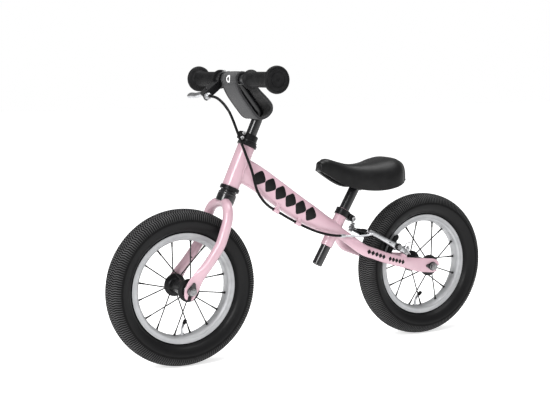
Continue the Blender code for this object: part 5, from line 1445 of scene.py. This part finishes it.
NOODLE = [
    (-0.0706, 0.0302, 0.2410), (-0.0860, 0.0365, 0.2403), (-0.1040, 0.0470, 0.2405),
    (-0.1190, 0.0570, 0.2435), (-0.1310, 0.0585, 0.2455),
    (-0.1345, 0.0510, 0.2452), tuple(brake_point(CABLE_RADIUS, 0.0410)),
    tuple(brake_point(CABLE_RADIUS, NOODLE_END_Y))]


def housing_piece(name, route, looks):
    return Shape().tube(smooth_rows(route, 0.0025), HOUSING_RADIUS, 24).object(name, looks["plastic"])


def build_housing(name, route, looks, node):
    housing = housing_piece(name, route, looks)
    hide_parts(node)
    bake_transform(housing)


def build_cable(looks):
    """Three lengths of housing, the ferrule at the lever, then the noodle, its boot and the inner wire."""
    build_housing("cable_at_bars", HOUSING_TOP,
                  looks, "housing_at_bars")
    build_housing("cable_at_head", HOUSING_MIDDLE,
                  looks, "housing_at_head")
    rear = housing_piece("cable_on_frame", HOUSING_REAR, looks)
    place(rear, "frame", "black_plastic", "housing_on_frame")
    ferrule = [(0.0025, 0.0), (0.0030, 0.0003), (0.0030, 0.0080), (0.0026, 0.0086)]
    start = lever_point(BARREL_REACH, BARREL_MOUTH_Y - 0.0010)
    made = Shape().turn(ferrule, start, LEFT, 32)
    place(made.object("lever_ferrule", looks["plastic"]), "bars", "black_plastic")
    tip = brake_point(CABLE_RADIUS, NOODLE_END_Y)
    build_noodle(tip, looks)
    build_boot(tip, looks)
    build_wire(looks)


def build_noodle(tip, looks):
    """The bent metal tube, with a collar at its start and a bead at its tip."""
    along = (Vector(NOODLE[1]) - Vector(NOODLE[0])).normalized()
    noodle = Shape().tube(smooth_rows(NOODLE, 0.0015), 0.0022, 24)
    noodle.turn([(0.0030, -0.0090), (0.0036, -0.0086), (0.0036, 0.0030), (0.0030, 0.0040)], Vector(NOODLE[0]),
                along, 32)
    bead = [(0.0024, 0.0), (0.0030, 0.0020), (0.0030, 0.0034), (0.0025, 0.0040)]
    noodle.turn(bead, tip - LEFT * 0.0005, LEFT, 32)
    noodle = noodle.object("brake_noodle", looks["silver"])
    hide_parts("noodle")
    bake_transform(noodle)


def build_wire(looks):
    """The inner wire from the boot to its crimped end, and the bolt and nut that hold it in the right arm."""
    route = [brake_point(CABLE_RADIUS, -0.0100), brake_point(CABLE_RADIUS, -0.0290),
             brake_point(CABLE_RADIUS, -0.0352, 0.0074), brake_point(CABLE_RADIUS, -0.0400, 0.0088),
             brake_point(CABLE_RADIUS - 0.0040, -0.0560, 0.0080),
             brake_point(CABLE_RADIUS - 0.0200, -0.0660, 0.0060)]
    wire = Shape().tube(smooth_rows(route, 0.0010), 0.0008, 12, ripple=0.10)
    end = (Vector(route[-1]) - Vector(route[-2])).normalized()
    wire.turn([(0.0012, -0.0030), (0.0014, -0.0026), (0.0014, 0.0030), (0.0008, 0.0040)], route[-1], end, 16)
    anchor = brake_point(CABLE_RADIUS, -PIVOT_Y)
    wire.rod(anchor - BRAKE_AXIS * 0.0060, anchor + BRAKE_AXIS * 0.0060, 0.0025)
    washer = [(0.0056, 0.0052), (0.0058, 0.0054), (0.0058, 0.0070), (0.0056, 0.0074)]
    wire.turn(washer, anchor, BRAKE_AXIS, 32)
    bolt_head(wire, anchor - BRAKE_AXIS * 0.0050, -BRAKE_AXIS, 0.0045, 0.0022, 0.0034)
    wire.turn([(0.0046, 0.0), (0.0050, 0.0004), (0.0050, 0.0026), (0.0042, 0.0032)],
              anchor + BRAKE_AXIS * 0.0095, BRAKE_AXIS, 48, hexagon=(0.0, 0.0050))
    wire = wire.object("inner_wire_and_anchor", looks["steel"])
    place(wire, "right_arm", "bright_steel", "wire_and_anchor")


def build_boot(tip, looks):
    """A soft ribbed sleeve over the bare wire, wider in the middle."""
    outline = [(0.0024, 0.0), (0.0034, 0.0004)]
    ribs, length = 9, 0.0330
    for index in range(ribs):
        share = (index + 0.5) / ribs
        belly = 0.0037 + 0.0012 * math.sin(math.pi * min(1.0, share * 1.4)) - 0.0008 * share
        start = 0.0020 + index * length / ribs
        outline += [(belly, start + 0.0008), (belly, start + 0.0018), (belly - 0.0008, start + 0.0028)]
    outline += [(0.0026, 0.0380), (0.0022, 0.0400), (0.0010, 0.0401)]
    boot = Shape().turn(outline, tip - LEFT * 0.0005, -LEFT, 40)
    place(boot.object("noodle_boot", looks["rubber"], sharp=60), "left_arm", "black_rubber", "rubber_boot")


# ---------------------------------------------------------------- saddle

SADDLE_NOSE = -0.0225
SADDLE_TAIL = -0.2290
COVER_WALL = 0.0050
COVER_THICKNESS = 0.0120


def saddle_rows(wall=0.0, thickness=0.0):
    """Rows of (x, top, lower edge, half width) from nose to tail, drawn in all round and on top."""
    rows = [(-0.0290, 0.4000, 0.3780, 0.0130), (-0.0420, 0.4050, 0.3700, 0.0175),
            (-0.0700, 0.3975, 0.3535, 0.0220), (-0.0930, 0.3922, 0.3435, 0.0280),
            (-0.1180, 0.3910, 0.3380, 0.0385), (-0.1440, 0.3940, 0.3365, 0.0520),
            (-0.1670, 0.3998, 0.3390, 0.0610), (-0.1900, 0.4040, 0.3440, 0.0620),
            (-0.2080, 0.4015, 0.3500, 0.0545), (-0.2180, 0.3968, 0.3535, 0.0430)]
    rows = smooth_rows([(x, 0.0, top, edge, half) for x, top, edge, half in rows], 0.004)
    rounded = []
    for end, tip in ((rows[0], SADDLE_NOSE), (rows[-1], SADDLE_TAIL)):
        x, _, top, edge, half = end
        middle = top * 0.52 + edge * 0.48
        closing = []
        for index in range(1, 16):
            share = math.sin(math.pi / 2 * index / 15.5)
            round_off = (1 - share ** 2.2) ** (1 / 2.2)
            closing.append((x + (tip - x) * share, 0.0, middle + (top - middle) * round_off,
                            middle - (middle - edge) * round_off, half * round_off))
        rounded.append(closing)
    rows = rounded[0][::-1] + [tuple(row) for row in rows] + rounded[1]
    centre, reach = (SADDLE_NOSE + SADDLE_TAIL) / 2, (SADDLE_NOSE - SADDLE_TAIL) / 2
    drawn = []
    for x, _, top, edge, half in rows:
        if wall == 0.0 or (half - wall > 0.0035 and top - thickness - edge > 0.004):
            drawn.append((centre + (x - centre) * (1 - wall / reach), top - thickness, edge, half - wall))
    return drawn


def crowned(rows, drop=0.0, count=56):
    """A loft whose sections are crowned above and flat below, drop under the lower edge."""
    loops = []
    for x, top, edge, half in rows:
        loop = [Vector((x, half, edge - drop))] if drop > 0.0 else []
        for index in range(count + 1):
            angle = math.pi * index / count
            across = squared(math.cos(angle), 2 / 3)
            height = math.sin(angle) ** (2 / 3)
            loop.append(Vector((x, half * across, edge + (top - edge) * height)))
        if drop > 0.0:
            loop.append(Vector((x, -half, edge - drop)))
        loops.append(loop)
    return Shape().skin(loops)


def build_saddle(looks):
    """A padded cover drawn down over a moulded base, on its post."""
    rows = saddle_rows()
    cover = crowned(rows, 0.0, 72).object("saddle_cushion", looks["saddle"], sharp=60)
    carve(cover, crowned(saddle_rows(COVER_WALL, COVER_THICKNESS), 0.02).object("cutter"))
    place(cover, "saddle", "saddle_skin", "saddle_cover")
    edge = [(x, half - 0.0007, low + 0.0004) for x, _, low, half in rows]
    edge += [(x, -half, low) for x, half, low in edge[::-1]]
    lip = Shape().tube(smooth_rows(edge, 0.003, closed=True), 0.0012, 12, closed=True)
    place(lip.object("saddle_lip", looks["saddle"]), "saddle", "saddle_skin")
    wall, pad, shell = COVER_WALL + 0.0002, COVER_THICKNESS + 0.0002, 0.0035
    base = crowned(saddle_rows(wall, pad), 0.0).object("saddle_shell", looks["plastic"])
    carve(base, crowned(saddle_rows(wall + shell, pad + shell), 0.02).object("cutter"))
    place(base, "saddle", "black_plastic", "saddle_base")
    post = Shape().ring(POST_RADIUS - 0.0018, POST_RADIUS, seat_point(0.0), seat_point(POST_LENGTH), 72)
    place(post.object("post_tube", looks["paint"]), "saddle", "black_metal", "seatpost")
    build_post_socket(looks)


def build_post_socket(looks):
    """The socket under the saddle, with its ribs and a clamp bolt on each side."""
    socket = Shape().ring(POST_RADIUS + 0.0002, 0.0158, seat_point(POST_LENGTH - 0.0250),
                          seat_point(POST_LENGTH + 0.0050), 64, 0.0008)
    for way in (1, -1):
        for back in (-1, 1):
            rib = [(0.0, 0.0), (0.0200, 0.0120), (0.0200, 0.0230), (0.0, 0.0230)]
            upward, across = SEAT_AXIS, (LEFT * way * 0.55 + SEAT_BACK * back * 0.83).normalized()
            start = seat_point(POST_LENGTH - 0.0200) + across * 0.0145 - across.cross(upward) * 0.0011
            socket.slab(rib, start, 0.0022, across, upward)
    place(socket.object("post_socket", looks["plastic"]), "saddle", "black_plastic")
    bolt = Shape()
    middle = seat_point(POST_LENGTH - 0.0150)
    bolt.rod(middle - LEFT * 0.0185, middle + LEFT * 0.0185, 0.0026)
    bolt_head(bolt, middle + LEFT * 0.0155, LEFT, 0.0046, 0.0022, 0.0040)
    hex_end(bolt, middle - LEFT * 0.0155, -LEFT, 0.0046, 0.0030, (0.0040, 0.0036))
    place(bolt.object("post_socket_bolt", looks["steel"]), "saddle", "bright_steel")


# ---------------------------------------------------------------- printed marks

def tube_mark(shape, rows, outline, reach, height, way):
    """A thin mark bent over a tube's side: outline points are offsets along the tube and up its side."""
    centres = [Vector(row[:3]) for row in rows]
    spans = [0.0]
    for here, there in zip(centres, centres[1:]):
        spans.append(spans[-1] + (there - here).length)
    frames = section_frames(centres, LEFT)

    def on_tube(along, up, lift):
        index = max(0, min(len(rows) - 2, int(np.searchsorted(spans, along)) - 1))
        share = (along - spans[index]) / (spans[index + 1] - spans[index])
        row = np.array(rows[index]) * (1 - share) + np.array(rows[index + 1]) * share
        across = frames[index][1].lerp(frames[index + 1][1], share)
        upward = frames[index][2].lerp(frames[index + 1][2], share)
        if upward.z < 0:
            upward = -upward
        angle = math.asin(max(-0.98, min(0.98, up / row[4])))
        return (Vector(row[:3]) + across * way * math.cos(angle) * (row[3] + lift)
                + upward * math.sin(angle) * (row[4] + lift))

    loops = []
    for size, lift in ((0.02, -0.0005), (0.3, -0.0005), (0.65, -0.0005), (1.0, -0.0005), (1.0, 0.00022),
                       (0.9, 0.00026), (0.7, 0.00026), (0.5, 0.00026), (0.3, 0.00026), (0.02, 0.00026)):
        loops.append([on_tube(reach + a * size, height + b * size, lift) for a, b in outline])
    shape.skin(loops)


DIAMOND_STEPS = 12
TUBE_MARKS = 6
TUBE_MARK_PITCH = 0.0292
STAY_MARK_PLACES = (0, 1, 2, 3, 4, 6, 7, 8, 9, 10)
STAY_MARK_PITCH = 0.0089
HEAD_DASHES = 7
HEAD_DASH_PITCH = 0.0078


def rounded_diamond(half_length, half_height):
    corners = [(half_length, 0.0), (0.0, half_height), (-half_length, 0.0), (0.0, -half_height)]
    points = []
    for here, there in zip(corners, corners[1:] + corners[:1]):
        for part in range(DIAMOND_STEPS):
            share = part / DIAMOND_STEPS
            points.append(tuple(a * (1 - share) + b * share for a, b in zip(here, there)))
    return round_corners(points)


def round_corners(points):
    """Averages a closed outline with its neighbours, which takes the points off its corners."""
    for _ in range(9):
        points = [((points[k - 1][0] + 2 * p[0] + points[(k + 1) % len(points)][0]) / 4,
                   (points[k - 1][1] + 2 * p[1] + points[(k + 1) % len(points)][1]) / 4)
                  for k, p in enumerate(points)]
    return points


def build_marks(looks):
    """Plain dark shapes: large ones along the main tube, small ones on the stay and the head tube."""
    rows = main_tube_rows()
    large = Shape()
    for index in range(TUBE_MARKS):
        tube_mark(large, rows, rounded_diamond(0.0165, 0.0185), 0.0460 + index * TUBE_MARK_PITCH, 0.0010, 1)
    place(large.object("main_tube_marks", looks["ink"]), "frame", "pink_paint")
    stay = stay_rows(1)
    small = Shape()
    for index in STAY_MARK_PLACES:
        tube_mark(small, stay, rounded_diamond(0.0048, 0.0058), 0.0780 + index * STAY_MARK_PITCH, 0.0002, 1)
    place(small.object("stay_marks", looks["ink"]), "frame", "pink_paint")
    head = Shape()
    for index in range(HEAD_DASHES):
        height = 0.0200 + index * HEAD_DASH_PITCH
        middle = steer_point(height, HEAD_TUBE_RADIUS - 0.0003)
        dash = soften([(-0.0030, -0.0012), (0.0030, 0.0008), (0.0030, 0.0024), (-0.0030, 0.0004)], 0.0008, 4)
        head.slab(dash, middle, 0.0006, LEFT, -STEER_AXIS)
    place(head.object("head_tube_marks", looks["grey_ink"]), "frame", "pink_paint")


# ---------------------------------------------------------------- everything


def main():
    make_camera()
    looks = make_materials()
    make_studio()
    build_wheel("front", FRONT_HUB, 0.0, looks, "front_wheel")
    build_wheel("rear", REAR_HUB, REAR_WHEEL_TURN, looks, "rear_wheel")
    build_axle("front", FRONT_HUB, looks, "steering")
    build_axle("rear", REAR_HUB, looks, "frame")
    build_straight_tubes(looks)
    build_main_tube(looks)
    build_guides(looks)
    build_chainstays(looks)
    build_fork_legs(looks)
    build_headset(looks)
    build_collar(looks)
    build_seat_clamp(looks)
    build_stem(looks)
    build_grips(looks)
    build_pad(looks)
    build_lever(looks)
    build_brake(looks)
    build_cable(looks)
    build_saddle(looks)
    build_marks(looks)


main()
